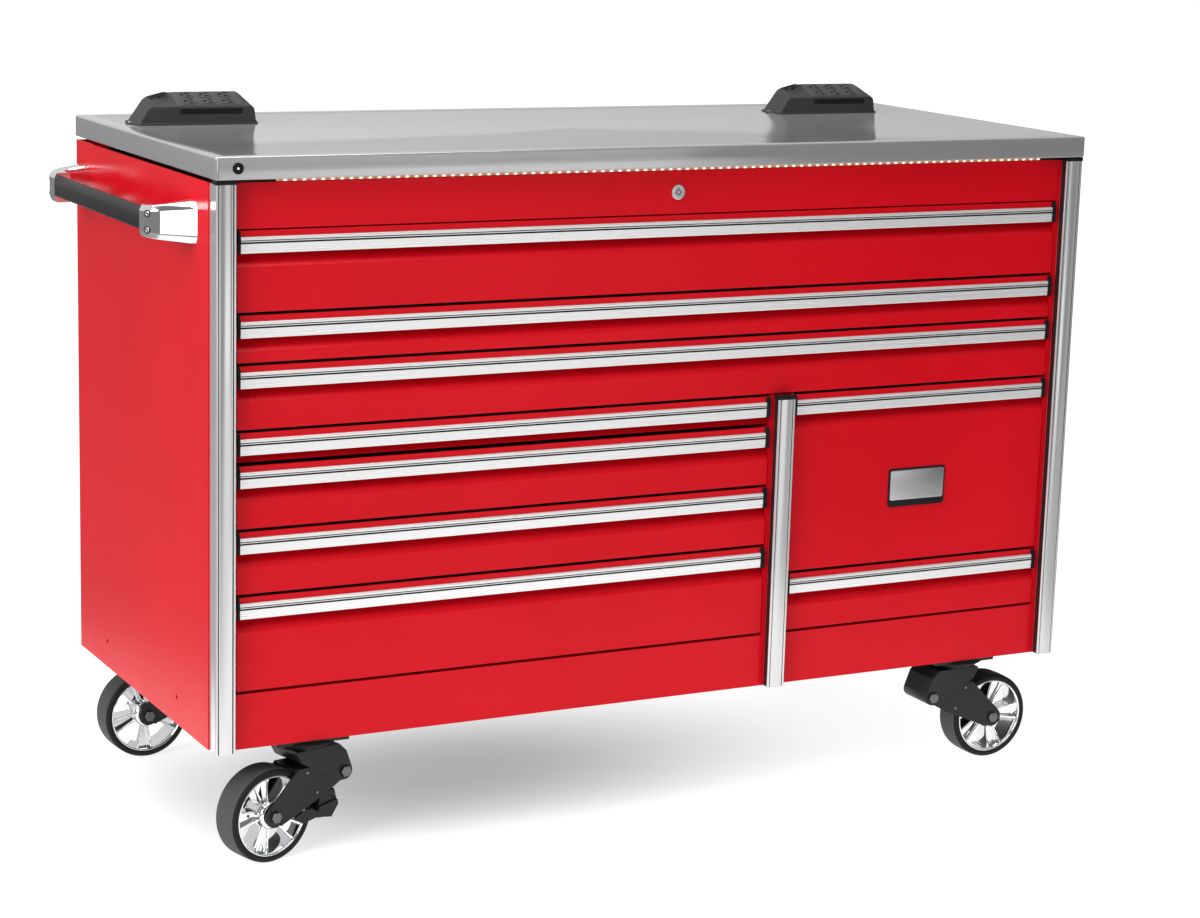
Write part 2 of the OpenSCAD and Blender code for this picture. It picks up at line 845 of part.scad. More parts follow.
// Race radius: a rear race is held inside the back panel's outside
function race(i, r) = i % 2 == 0 ? r : min(r, back_out - caster_y(i));

// Stands a caster part on its axis, with the wheel trailing along -X
module at_caster(i) {
  translate([caster_x(i), caster_y(i), 0]) rotate([0, 0, caster_turn(i)]) children();
}

module caster_plate(i) {
  difference() {
    block([-foot_l / 2, -foot_w / 2, body_z0 - foot_t], [foot_l / 2, foot_w / 2, body_z0]);
    for (x = [-1, 1], y = [-1, 1])
      translate([x * foot_bolt_x / 2, y * foot_bolt_y / 2, body_z0 - foot_t - 1])
        cylinder(h = foot_t + 2, r = foot_bolt_r);
  }
  if (i < 2) {
    translate([0, 0, web_z1 + race_h / 2])
      cylinder(h = body_z0 - foot_t - web_z1 - race_h / 2, r1 = race(i, race_mid), r2 = race(i, race_top));
    translate([0, 0, web_z1 - web_t - 4]) cylinder(h = web_t + race_h, r = king_r);
    translate([0, 0, web_z1 - web_t - 4]) cylinder(h = 3.6, r = king_r + 4);
  }
}

// A plate of the casters' gauge, its middle plane at y
module plate_at(y, t = plate_t) {
  along_y(y - t / 2, y + t / 2) children();
}

// Side view of a fork cheek: a wedge from the web down to the eye round the pivot bolt
module cheek_view() {
  tail = pivot_x - arm_l + 43;
  polygon([[tail, web_z1], [tail, web_z1 - web_t], [tail + 9, pivot_z + 30], [pivot_x - 12, pivot_z - pivot_eye],
           [pivot_x, pivot_z - pivot_eye], [pivot_x + pivot_eye - 1, pivot_z + 6], [pivot_x + 2.5, pivot_z + 37],
           [pivot_x - 13, web_z1]]);
  translate([pivot_x, pivot_z]) circle(pivot_eye);
}

// Side view of the curved nose that joins the cheeks and wraps the pivot
module nose_view() {
  wrap = 3;
  edge = pivot_x + pivot_eye - 1;
  polygon([[pivot_x - 13, web_z1], [pivot_x + 2.5, pivot_z + 37], [edge, pivot_z + 6],
           [edge - wrap, pivot_z + 6], [pivot_x - 0.8, pivot_z + 36], [pivot_x - 16, web_z1 - web_t]]);
  intersection() {
    translate([pivot_x, pivot_z]) difference() {
      circle(pivot_eye);
      circle(pivot_eye - wrap);
    }
    rect([pivot_x + 3, pivot_z - pivot_eye - 1], [pivot_x + pivot_eye + 1, pivot_z + 6.2]);
  }
}

// Side view of the flange that closes the fork's back
module tail_view() {
  tail = pivot_x - arm_l + 43;
  polygon([[tail, web_z1 - web_t], [tail + 9, pivot_z + 30], [tail + 13, pivot_z + 30], [tail + 4, web_z1 - web_t]]);
}

module hex_bolt_y(half, r) {
  head = 5;
  rod_y(-half - head, half + head, r);
  for (s = [-1, 1]) rod_y(s * (half + head / 2) - head / 2, s * (half + head / 2) + head / 2, 1.7 * r, 6);
}

// Fork: a web, two cheeks, a nose and the pivot bolt
module fork() {
  for (s = [-1, 1])
    plate_at(s * (cheek_in + plate_t / 2)) cheek_view();
  block([pivot_x - arm_l + 43, -cheek_out, web_z1 - web_t], [pivot_x - 14, cheek_out, web_z1]);
  along_y(-cheek_out, cheek_out) {
    nose_view();
    tail_view();
  }
  translate([pivot_x, 0, pivot_z]) hex_bolt_y(cheek_out, bolt_r);
}

module swivel_fork(i) {
  color("black") at_caster(i) difference() {
    union() {
      fork();
      translate([0, 0, web_z1 - 1]) cylinder(h = race_h / 2 + 1 - race_gap, r1 = race(i, race_low), r2 = race(i, race_mid));
    }
    translate([0, 0, web_z1 - web_t - 1]) cylinder(h = web_t + race_h + 2, r = king_r + bolt_fit);
  }
}

// Plates of all casters, with the forks of the rigid ones welded on
module caster_mounts() {
  color("black") for (i = [0:3]) {
    translate([caster_x(i), caster_y(i), 0]) caster_plate(i);
    if (i >= 2) at_caster(i) {
      fork();
      translate([0, 0, web_z1]) cylinder(h = race_h, r1 = race(i, race_low), r2 = race(i, race_top));
    }
  }
}

rivets = [[66.7, 66.3], [88, 27]];
rivet_r = 3.5;
rivet_proud = 0.3;
arm_web = 3;
brake_gap = 0.6;

// Side view of a swing arm, measured from the axle
module arm_view() {
  polygon([[-14.5, 12.3], [48, 75], [88, 74], [arm_l, pivot_rise + arm_eye], [arm_l + 4, pivot_rise - arm_eye + 0.7],
           [110, 23], [12, -18.5]]);
  circle(axle_eye);
  translate([arm_l, pivot_rise]) circle(arm_eye);
}

// Swing arm: two plates joined by a web over the wheel, the pivot tube and two rivets, with the axle
// fixed in them
module swing_arm(i) {
  color("black") at_caster(i) translate([-trail, 0, wheel_r]) {
    difference() {
      union() {
        for (s = [-1, 1])
          plate_at(s * (arm_in + plate_t / 2)) arm_view();
        along_y(-arm_in - 1, arm_in + 1)
          polygon([[48, 75], [88, 74], [88, 74 - arm_web], [48, 75 - arm_web]]);
        translate([arm_l, 0, pivot_rise]) rod_y(-arm_in - 1, arm_in + 1, arm_eye - 2);
      }
      translate([arm_l, 0, pivot_rise]) rod_y(-arm_out - 1, arm_out + 1, bolt_r + bolt_fit);
    }
    hex_bolt_y(arm_out, bolt_r);
    for (q = rivets)
      translate([q[0], 0, q[1]]) rod_y(-arm_out - rivet_proud, arm_out + rivet_proud, rivet_r, 24);
  }
}

// Foot brake of the front left caster: a tread that turns on the lower rivet between the arm's
// plates, with a shoe beside each flank of the tyre
module brake_pedal() {
  pin = rivets[1];
  color("black") at_caster(0) translate([-trail, 0, wheel_r]) difference() {
    union() {
      along_y(-arm_in + brake_gap, arm_in - brake_gap)
        polygon([[94, -3], [134, 4], [128.6, 25], [113.6, 21.5], [98, 33], [88, 34], [82, 27], [88, 20], [97, 13]]);
      along_y(-arm_out + brake_gap, arm_out - brake_gap)
        polygon([[92, -9], [96, -20], [120, -24], [135, -3], [133, 6], [94, -1]]);
      for (s = [-1, 1]) plate_at(s * (arm_in + plate_t / 2), plate_t - 2 * brake_gap)
        polygon([[38, -12.5], [58.6, -24.5], [86, -19], [98, -21], [98, -4], [92, -9], [82, -4], [67, 0.4]]);
    }
    translate([pin[0], 0, pin[1]]) rod_y(-arm_in, arm_in, rivet_r + bolt_fit, 24);
  }
}

tyre_bond = 0.5;
rim_w_in = 3;
hub_r = 24;
rim_t = 4.5;
spoke_t = 5;
spoke_gap = 6;
spoke_fan = 24;
spoke_web = 10;
spoke_d = 30;

// Half section of a tyre with rounded shoulders, radius along X
module tyre_section() {
  half = tyre_w / 2;
  round_r = 7;
  inner = wheel_r - tyre_t;
  rect([inner, -half], [wheel_r - round_r, half]);
  rect([inner, -half + round_r], [wheel_r, half - round_r]);
  for (s = [-1, 1]) translate([wheel_r - round_r, s * (half - round_r)]) circle(round_r);
}

// Front view of a rim's twin spokes between the hub and the barrel
module spoke_view() {
  reach = wheel_r - tyre_t - rim_t + 1;
  for (k = [0:spokes - 1]) rotate(k * 360 / spokes)
    for (s = [-1, 1]) polygon([[hub_r - 3, s * spoke_gap / 2], [reach, s * spoke_fan / 2],
                               [reach, s * (spoke_fan / 2 + spoke_t)], [hub_r - 3, s * (spoke_gap / 2 + spoke_t)]]);
}

// Front view of the recessed webs that join each pair of spokes
module web_view() {
  reach = wheel_r - tyre_t - rim_t + 1;
  for (k = [0:spokes - 1]) rotate(k * 360 / spokes)
    polygon([[hub_r - 3, -spoke_gap / 2 - 1], [reach, -spoke_fan / 2 - 1], [reach, spoke_fan / 2 + 1], [hub_r - 3, spoke_gap / 2 + 1]]);
}

// Wheel: a rubber tyre moulded on a spoked rim whose hub runs on the axle
module wheel(i) {
  seat = wheel_r - tyre_t + tyre_bond;
  half = tyre_w / 2;
  at_caster(i) translate([-trail, 0, wheel_r]) rotate([90, 0, 0]) {
    color("dimgray") rotate_extrude($fn = 96) tyre_section();
    color("silver") difference() {
      union() {
        rotate_extrude($fn = 96) rect([seat - rim_t, -half + rim_w_in], [seat, half - rim_w_in]);
        along_z(-spoke_d / 2, spoke_d / 2) spoke_view();
        along_z(-spoke_web / 2, spoke_web / 2) web_view();
        cylinder(h = tyre_w + wheel_gap, r = hub_r, center = true);
      }
      cylinder(h = tyre_w + 20, r = bolt_r + bolt_fit, center = true);
    }
  }
}

// One module for each piece that repeats

module drawer_1() { drawer(0); }
module drawer_2() { drawer(1); }
module drawer_3() { drawer(2); }
module drawer_4() { drawer(3); }
module drawer_5() { drawer(4); }
module drawer_6() { drawer(5); }
module drawer_7() { drawer(6); }
module drawer_8() { drawer(7); }
module drawer_9() { drawer(8); }
module pull_1() { pull(0); }
module pull_2() { pull(1); }
module pull_3() { pull(2); }
module pull_4() { pull(3); }
module pull_5() { pull(4); }
module pull_6() { pull(5); }
module pull_7() { pull(6); }
module pull_8() { pull(7); }
module pull_9() { pull(8); }
module slide_1() { slide(0); }
module slide_2() { slide(1); }
module slide_3() { slide(2); }
module slide_4() { slide(3); }
module slide_5() { slide(4); }
module slide_6() { slide(5); }
module slide_7() { slide(6); }
module slide_8() { slide(7); }
module slide_9() { slide(8); }
module swivel_fork_front() { swivel_fork(0); }
module swivel_fork_rear() { swivel_fork(1); }
module swing_arm_front_left() { swing_arm(0); }
module swing_arm_rear_left() { swing_arm(1); }
module swing_arm_front_right() { swing_arm(2); }
module swing_arm_rear_right() { swing_arm(3); }
module wheel_front_left() { wheel(0); }
module wheel_rear_left() { wheel(1); }
module wheel_front_right() { wheel(2); }
module wheel_rear_right() { wheel(3); }

left_side_panel();
right_side_panel();
back_panel();
floor_pan();
front_frame();
bank_divider();
worktop();
worktop_core();
light_strip();
trim_posts();
post_caps();
cabinet_rails();
handle_grip();
handle_brackets();
lock_housing();
lock_plug();
switch_bezel();
light_button();
power_strips();
rocker_left();
rocker_right();
drawer_1();
drawer_2();
drawer_3();
drawer_4();
drawer_5();
drawer_6();
drawer_7();
drawer_8();
drawer_9();
pull_1();
pull_2();
pull_3();
pull_4();
pull_5();
pull_6();
pull_7();
pull_8();
pull_9();
slide_1();
slide_2();
slide_3();
slide_4();
slide_5();
slide_6();
slide_7();
slide_8();
slide_9();
caster_mounts();
brake_pedal();
swivel_fork_front();
swivel_fork_rear();
swing_arm_front_left();
swing_arm_rear_left();
swing_arm_front_right();
swing_arm_rear_right();
wheel_front_left();
wheel_rear_left();
wheel_front_right();
wheel_rear_right();
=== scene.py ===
"""Looks of a rolling tool cabinet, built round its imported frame.

Sizes in the classes are millimetres in the cabinet's own frame: X to the right, Y to the back, Z up.
"""

from __future__ import annotations

import logging
import math
from collections.abc import Callable, Sequence
from dataclasses import dataclass
from enum import Enum

import bpy
import numpy as np
from mathutils import Matrix, Vector


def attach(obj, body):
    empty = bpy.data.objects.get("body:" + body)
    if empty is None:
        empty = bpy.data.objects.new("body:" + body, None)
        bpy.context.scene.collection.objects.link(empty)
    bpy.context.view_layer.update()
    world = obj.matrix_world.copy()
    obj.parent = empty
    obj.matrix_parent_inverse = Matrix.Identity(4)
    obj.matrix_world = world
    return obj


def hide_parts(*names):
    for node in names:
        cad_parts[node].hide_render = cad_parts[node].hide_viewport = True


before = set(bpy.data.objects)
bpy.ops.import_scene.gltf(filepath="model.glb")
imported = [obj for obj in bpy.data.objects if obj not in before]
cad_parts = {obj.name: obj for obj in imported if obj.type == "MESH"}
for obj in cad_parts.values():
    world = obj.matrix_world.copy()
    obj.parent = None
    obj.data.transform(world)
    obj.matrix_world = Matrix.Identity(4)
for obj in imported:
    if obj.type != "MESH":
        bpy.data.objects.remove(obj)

MM = 0.001
log = logging.getLogger("cabinet")
Colour = tuple[float, float, float]
RIGHT, BACK, UP = np.eye(3)


class Axis(Enum):
    """The direction along which a surface was rolled, drawn or brushed."""

    X = 0
    Y = 1
    Z = 2


class Corner(Enum):
    """The four casters: name, swivel axis x and y, turn and first spoke in degrees."""

    FRONT_LEFT = ("front_left", -638.5, -301.25, 15.0, 36.0)
    REAR_LEFT = ("rear_left", -638.5, 325.75, 4.0, 51.0)
    FRONT_RIGHT = ("front_right", 709.5, -301.25, 180.0, 36.0)
    REAR_RIGHT = ("rear_right", 709.5, 325.75, 180.0, 51.0)

    @property
    def ahead(self) -> np.ndarray:
        """The direction from the wheel to the swivel axis."""
        a = math.radians(self.value[3])
        return np.array([math.cos(a), math.sin(a), 0.0])


class Bank(Enum):
    """The three widths of drawer front: left and right end in x."""

    WIDE = (-779.0, 857.0)
    LEFT = (-779.0, 246.5)
    RIGHT = (297.5, 857.0)


# Meshes


@dataclass
class Shell:
    """One closed surface: points in millimetres and faces as point numbers."""

    points: np.ndarray
    faces: list[list[int]]

    def outward(self) -> Shell:
        """Turns every face round when the enclosed volume comes out negative.

        Returns:
            The shell itself, with faces that point outwards.
        """
        volume = 0.0
        for size in {len(f) for f in self.faces}:
            loops = np.array([f for f in self.faces if len(f) == size])
            a = self.points[loops[:, 0]][:, None]
            b, c = self.points[loops[:, 1:-1]], self.points[loops[:, 2:]]
            volume += float(np.einsum("ijk,ijk->", np.broadcast_to(a, b.shape), np.cross(b, c)))
        if volume < 0:
            self.faces = [f[::-1] for f in self.faces]
        return self


def join(shells: Sequence[Shell]) -> Shell:
    """Puts several shells into one list of points and faces.

    Args:
        shells: the shells to put together.

    Returns:
        One shell that holds them all, still as separate closed surfaces.
    """
    starts = np.cumsum([0] + [len(s.points) for s in shells])
    faces = [[i + int(k) for i in f] for s, k in zip(shells, starts) for f in s.faces]
    return Shell(np.concatenate([s.points for s in shells]), faces)


def loft(rings: np.ndarray, ring_closed: bool = False) -> Shell:
    """Skins a stack of closed loops: ring i's point j joins ring i+1's point j.

    Args:
        rings: points as (rings, points in a ring, 3).
        ring_closed: the last ring joins the first, as in a torus, instead of getting flat ends.

    Returns:
        The closed shell.
    """
    k, n = rings.shape[:2]
    index = np.arange(k * n).reshape(k, n)
    upper = np.roll(index, -1, axis=0) if ring_closed else index[1:]
    lower = index if ring_closed else index[:-1]
    quads = np.stack(
        [lower, np.roll(lower, -1, axis=1), np.roll(upper, -1, axis=1), upper], axis=-1
    ).reshape(-1, 4)
    faces = quads.tolist()
    if not ring_closed:
        faces += [index[0, ::-1].tolist(), index[-1].tolist()]
    return Shell(rings.reshape(-1, 3), faces).outward()


def round_corners(corners: Sequence[Sequence[float]], radius: float | Sequence[float],
                  n: int = 6) -> np.ndarray:
    """Rounds a polygon's corners with circular arcs.

    Each arc is the rational quadratic curve from one tangent point over the corner to the other,
    with the sine of half the corner's angle as its weight, which makes it exactly round.

    Args:
        corners: the polygon's corners in order, as pairs.
        radius: one radius, or one for each corner.
        n: points in each arc.

    Returns:
        The rounded loop as (points, 2).
    """
    p = np.asarray(corners, float)
    r = np.broadcast_to(np.asarray(radius, float), (len(p),))[:, None]
    before, after = np.roll(p, 1, axis=0) - p, np.roll(p, -1, axis=0) - p
    lb, la = (np.linalg.norm(v, axis=1, keepdims=True) for v in (before, after))
    ub, ua = before / lb, after / la
    half = np.arccos(np.clip((ub * ua).sum(1, keepdims=True), -1, 1)) / 2
    reach = np.minimum(r / np.tan(np.maximum(half, 1e-3)), 0.49 * np.minimum(lb, la))
    t = np.linspace(0, 1, n)[None, :, None]
    w = np.sin(half)[:, :, None]
    a, c, v = (p + ub * reach)[:, None], (p + ua * reach)[:, None], p[:, None]
    weights = (1 - t) ** 2, 2 * w * t * (1 - t), t**2
    curve = (weights[0] * a + weights[1] * v + weights[2] * c) / sum(weights)
    return curve.reshape(-1, 2)


def rounded_rect(width: float, height: float, radius: float, n: int = 6) -> np.ndarray:
    """A rounded rectangle round the origin, counter-clockwise, with n points in each corner."""
    w, h = width / 2, height / 2
    return round_corners([(w, -h), (w, h), (-w, h), (-w, -h)], radius, n)


def sweep(section: np.ndarray, origins: np.ndarray, u: np.ndarray, v: np.ndarray) -> Shell:
    """Carries a flat section along a path: point = origin + first * u + second * v.

    Args:
        section: the section's loop as (points, 2), or one loop for each path point.
        origins: path points as (k, 3).
        u: direction of the section's first axis, one or k of them.
        v: direction of the section's second axis, one or k of them.

    Returns:
        The closed shell.
    """
    s = section if section.ndim == 3 else np.broadcast_to(section, (len(origins),) + section.shape)
    u, v = (np.broadcast_to(np.asarray(d, float), (len(origins), 3))[:, None] for d in (u, v))
    return loft(np.asarray(origins, float)[:, None] + s[..., :1] * u + s[..., 1:] * v)


def slab(outline: np.ndarray, origin: Sequence[float], u: Sequence[float], v: Sequence[float],
         low: float, high: float, edge: float = 0.0) -> Shell:
    """A plate with the given outline whose upper edge is rounded over.

    The rings pull in towards the outline's middle by edge * (1 - cos a) while they rise by edge * sin a.

    Args:
        outline: loop as (points, 2), convex.
        origin: where the outline's own origin lies.
        u: direction of the outline's first axis.
        v: direction of the outline's second axis.
        low: start of the plate along u x v.
        high: end of the plate along u x v.
        edge: radius of the rounded upper edge.

    Returns:
        The closed shell.
    """
    a = np.linspace(0, math.pi / 2, 5) if edge else np.zeros(1)
    rise = np.concatenate([[low], high - edge + edge * np.sin(a) if edge else [high]])
    pull = np.concatenate([[0.0], edge * (1 - np.cos(a))])
    size = np.ptp(outline, axis=0) / 2
    middle = (outline.max(0) + outline.min(0)) / 2
    shrink = 1 - pull[:, None] / size[None]
    rings = middle + (outline[None] - middle) * shrink[:, None]
    normal = np.cross(u, v)
    return sweep(rings, np.asarray(origin, float) + rise[:, None] * normal, u, v)


def lathe(profile: np.ndarray, centre: Sequence[float], axis: Sequence[float], n: int = 96,
          closed: bool = False) -> Shell:
    """Turns a profile of (radius, place along the axis) round an axis.

    Args:
        profile: (points, 2); a closed one makes a ring.
        centre: a point on the axis.
        axis: the axis direction.
        n: steps in a turn.
        closed: the profile is a loop.

    Returns:
        The closed shell.
    """
    z = np.asarray(axis, float) / np.linalg.norm(axis)
    x = np.cross(z, (0.0, 0.0, 1.0) if abs(z[2]) < 0.9 else (1.0, 0.0, 0.0))
    x /= np.linalg.norm(x)
    y = np.cross(z, x)
    a = np.linspace(0, 2 * math.pi, n, endpoint=False)
    turn = np.cos(a)[:, None] * x + np.sin(a)[:, None] * y
    rings = np.asarray(centre, float) + profile[:, None, :1] * turn[None] + profile[:, None, 1:] * z
    return loft(rings, ring_closed=closed)


def arc(x: float, y: float, r: float, start: float, stop: float, n: int = 9) -> np.ndarray:
    """n points on the circle of radius r round (x, y), from one angle to another in degrees."""
    a = np.radians(np.linspace(start, stop, n))
    return np.stack([x + r * np.cos(a), y + r * np.sin(a)], axis=-1)


def mirrored(half: np.ndarray) -> np.ndarray:
    """A profile that ends on the middle plane, followed by its mirror image back to the start."""
    return np.concatenate([half, half[-2::-1] * (1, -1)])


def smooth_min(a: np.ndarray, b: np.ndarray, k: float) -> np.ndarray:
    """The lower of two heights, with the crease between them blended over k millimetres."""
    h = np.maximum(k - np.abs(a - b), 0) / k
    return np.minimum(a, b) - h * h * k / 4


# Shaders


def operator(operation: str, swapped: bool = False) -> Callable[[Sock, object], Sock]:
    """Makes one of a socket's operators.

    Args:
        operation: the Math node's operation.
        swapped: the socket is the right-hand side, as in 1 - mask.

    Returns:
        The method, which adds one Math node.
    """
    def method(self: Sock, other: object) -> Sock:
        """The operation on the socket and the other side."""
        a, b = (other, self) if swapped else (self, other)
        return self.shop.node("ShaderNodeMath", {"operation": operation}, {0: a, 1: b})

    return method


class Sock:
    """A shader socket that takes part in arithmetic; each operation adds a Math node."""

    def __init__(self, shop: Shop, socket: bpy.types.NodeSocket) -> None:
        """Keeps the socket and the material that it belongs to."""
        self.shop, self.socket = shop, socket

    __add__, __radd__ = operator("ADD"), operator("ADD", True)
    __sub__, __rsub__ = operator("SUBTRACT"), operator("SUBTRACT", True)
    __mul__, __rmul__ = operator("MULTIPLY"), operator("MULTIPLY", True)
    __pow__ = operator("POWER")


class Shop:
    """Builds the node tree of one material, or of the surround."""

    def __init__(self, owner: bpy.types.Material | bpy.types.World, shader: str = "ShaderNodeBsdfPrincipled",
                 end: str = "ShaderNodeOutputMaterial") -> None:
        """Empties the tree, then adds the shader, the output and the Object coordinates."""
        self.owner = owner
        owner.use_nodes = True
        self.tree = owner.node_tree
        self.tree.nodes.clear()
        self.shader = self.tree.nodes.new(shader)
        out = self.tree.nodes.new(end)
        self.tree.links.new(self.shader.outputs[0], out.inputs[0])
        self.place = self.node("ShaderNodeTexCoord", {"output": "Object"}, {})

    def node(self, kind: str, settings: dict, sockets: dict) -> Sock:
        """Adds a node.

        Args:
            kind: the node's type name.
            settings: attributes set first; "stops" fills a ramp, "output" names the output to hand back.
            sockets: values or Socks by input name or number.

        Returns:
            The node's output, the first one unless settings names another.
        """
        made = self.tree.nodes.new(kind)
        for key, value in settings.items():
            if key == "stops":
                ramp = made.color_ramp.elements
                while len(ramp) < len(value):
                    ramp.new(0.5)
                for stop, (at, shade) in zip(ramp, value):
                    stop.position, stop.color = at, (shade, shade, shade, 1.0)
            elif key != "output":
                setattr(made, key, value)
        for key, value in sockets.items():
            self.feed(made.inputs[key], value)
        return Sock(self, made.outputs[settings.get("output", 0)])

    def feed(self, target: bpy.types.NodeSocket, value: object) -> None:
        """Links a Sock to an input, or sets a plain value on it."""
        if isinstance(value, Sock):
            self.tree.links.new(value.socket, target)
        elif isinstance(value, tuple) and len(value) == 3 and target.type == "RGBA":
            target.default_value = (*value, 1.0)
        else:
            target.default_value = value

    def stretched(self, scale: Colour) -> Sock:
        """Object coordinates scaled on each axis, for patterns that run one way."""
        return self.node("ShaderNodeMapping", {}, {"Vector": self.place, "Scale": scale})

    def noise(self, scale: float, detail: float = 3.0, where: Sock | None = None) -> Sock:
        """A noise value from 0 to 1: repeats in a metre, octaves, and coordinates other than Object ones."""
        sockets = {"Vector": where or self.place, "Scale": scale, "Detail": detail}
        return self.node("ShaderNodeTexNoise", {}, sockets)

    def part(self, axis: Axis) -> Sock:
        """One of the Object coordinates."""
        return self.node("ShaderNodeSeparateXYZ", {"output": axis.value}, {0: self.place})

    def ramp(self, value: Sock, low: float, high: float, curve: str = "LINEAR") -> Sock:
        """value stretched so that low becomes 0 and high becomes 1, held at both ends."""
        return self.node("ShaderNodeMapRange", {"clamp": True, "interpolation_type": curve},
                         {0: value, 1: low, 2: high, 3: 0.0, 4: 1.0})

    def blend(self, mask: Sock, first: object, second: object) -> Sock:
        """Two colours mixed by a mask."""
        return self.node("ShaderNodeMix", {"data_type": "RGBA", "output": 2}, {0: mask, 6: first, 7: second})

    def bump(self, height: Sock, strength: float, distance: float) -> None:
        """Feeds a height pattern to the shader's Normal through a Bump node."""
        sockets = {"Height": height, "Strength": strength, "Distance": distance}
        self.set("Normal", self.node("ShaderNodeBump", {}, sockets))

    def set(self, name: str, value: object) -> None:
        """Sets or links one of the shader's inputs."""
        self.feed(self.shader.inputs[name], value)


def grey(value: float) -> Colour:
    """A neutral colour."""
    return (value, value, value)


@dataclass(frozen=True)
class GlossPaint:
    """Baked enamel: flowed film with a faint orange peel under a clear gloss."""

    name: str
    light: Colour
    dark: Colour
    rough: float = 0.24
    coat: float = 0.03
    peel: float = 0.02
    gloss: float = 0.12

    def material(self) -> bpy.types.Material:
        """Mixes two tones by a soft cloud, with fine peel in the bump and haze in the roughness."""
        s = Shop(bpy.data.materials.new(self.name))
        cloud = s.ramp(s.noise(2.3, 4.0), 0.3, 0.7)
        s.set("Base Color", s.blend(cloud, self.dark, self.light))
        haze = s.ramp(s.noise(14.0, 5.0), 0.35, 0.75)
        s.set("Roughness", self.rough - 0.04 + haze * 0.08)
        s.set("Coat Weight", self.coat - haze * 0.03)
        s.set("Coat Roughness", 0.08)
        s.set("Specular IOR Level", self.gloss)
        s.bump(s.noise(420.0, 2.0) + s.noise(60.0, 2.0) * 1.5, self.peel, 0.0006)
        return s.owner


@dataclass(frozen=True)
class BrushedMetal:
    """Metal with fine lines along one axis."""

    name: str
    tone: Colour
    rough: float
    along: Axis
    lines: float = 0.05
    metal: float = 1.0
    smudge: float = 0.05
    streak: float = 0.18

    def material(self) -> bpy.types.Material:
        """Noise drawn out along the axis gives the lines in tone, roughness and bump."""
        s = Shop(bpy.data.materials.new(self.name))
        scale = [900.0, 900.0, 900.0]
        scale[self.along.value] = 6.0
        fine = s.noise(1.0, 3.0, s.stretched(tuple(scale)))
        wide = s.noise(1.0, 2.0, s.stretched(tuple(v / 6 for v in scale)))
        patch = s.ramp(s.noise(5.0, 5.0), 0.35, 0.7)
        lines = fine * 0.6 + wide * 0.4
        darker = tuple(v * (1 - self.streak) for v in self.tone)
        s.set("Base Color", s.blend(s.ramp(lines, 0.3, 0.7), darker, self.tone))
        s.set("Metallic", self.metal)
        s.set("Roughness", self.rough + lines * 0.12 - 0.06 + patch * self.smudge)
        s.bump(lines, self.lines, 0.0004)
        return s.owner


@dataclass(frozen=True)
class Chrome:
    """Plated metal with a trace of wiping marks."""

    name: str
    tone: Colour = (0.86, 0.87, 0.88)
    rough: float = 0.05

    def material(self) -> bpy.types.Material:
        """Low roughness raised a little in smudged patches."""
        s = Shop(bpy.data.materials.new(self.name))
        smudge = s.ramp(s.noise(28.0, 6.0), 0.45, 0.8)
        s.set("Base Color", s.blend(smudge, self.tone, tuple(v * 0.93 for v in self.tone)))
        s.set("Metallic", 1.0)
        s.set("Roughness", self.rough + smudge * 0.07)
        s.bump(s.noise(9.0, 2.0), 0.02, 0.002)
        return s.owner


@dataclass(frozen=True)
class Moulded:
    """Moulded plastic or rubber with a fine spark-eroded grain."""

    name: str
    light: Colour
    dark: Colour
    rough: float = 0.5
    grain: float = 900.0
    depth: float = 0.12
    dust: float = 0.06
    gloss: float = 0.3

    def material(self) -> bpy.types.Material:
        """Grain in the bump, dust and handling as soft patches in tone and roughness."""
        s = Shop(bpy.data.materials.new(self.name))
        patch = s.ramp(s.noise(9.0, 6.0), 0.4, 0.75)
        grain = s.noise(self.grain, 2.0)
        s.set("Base Color", s.blend(patch * 0.7 + grain * 0.3, self.dark, self.light))
        s.set("Roughness", self.rough + patch * self.dust + grain * 0.06)
        s.set("Specular IOR Level", self.gloss)
        s.bump(grain, self.depth, 0.0003)
        return s.owner


@dataclass(frozen=True)
class LightLens:
    """A frosted strip lens with evenly spaced lamps behind it."""

    name: str
    pitch: float = 0.0167
    glow: float = 1.5

    def material(self) -> bpy.types.Material:
        """The lamp pattern is one minus the distance to the nearest lamp along X, sharpened."""
        s = Shop(bpy.data.materials.new(self.name))
        sockets = {0: s.part(Axis.X), 1: self.pitch / 2}
        wave = s.node("ShaderNodeMath", {"operation": "PINGPONG"}, sockets)
        spot = (1.0 - wave * (2.0 / self.pitch)) ** 3.0
        warm = s.blend(spot, (0.24, 0.07, 0.03), (1.0, 0.9, 0.75))
        s.set("Base Color", warm)
        s.set("Emission Color", warm)
        s.set("Emission Strength", self.glow)
        s.set("Roughness", 0.4 + s.noise(200.0) * 0.1)
        return s.owner


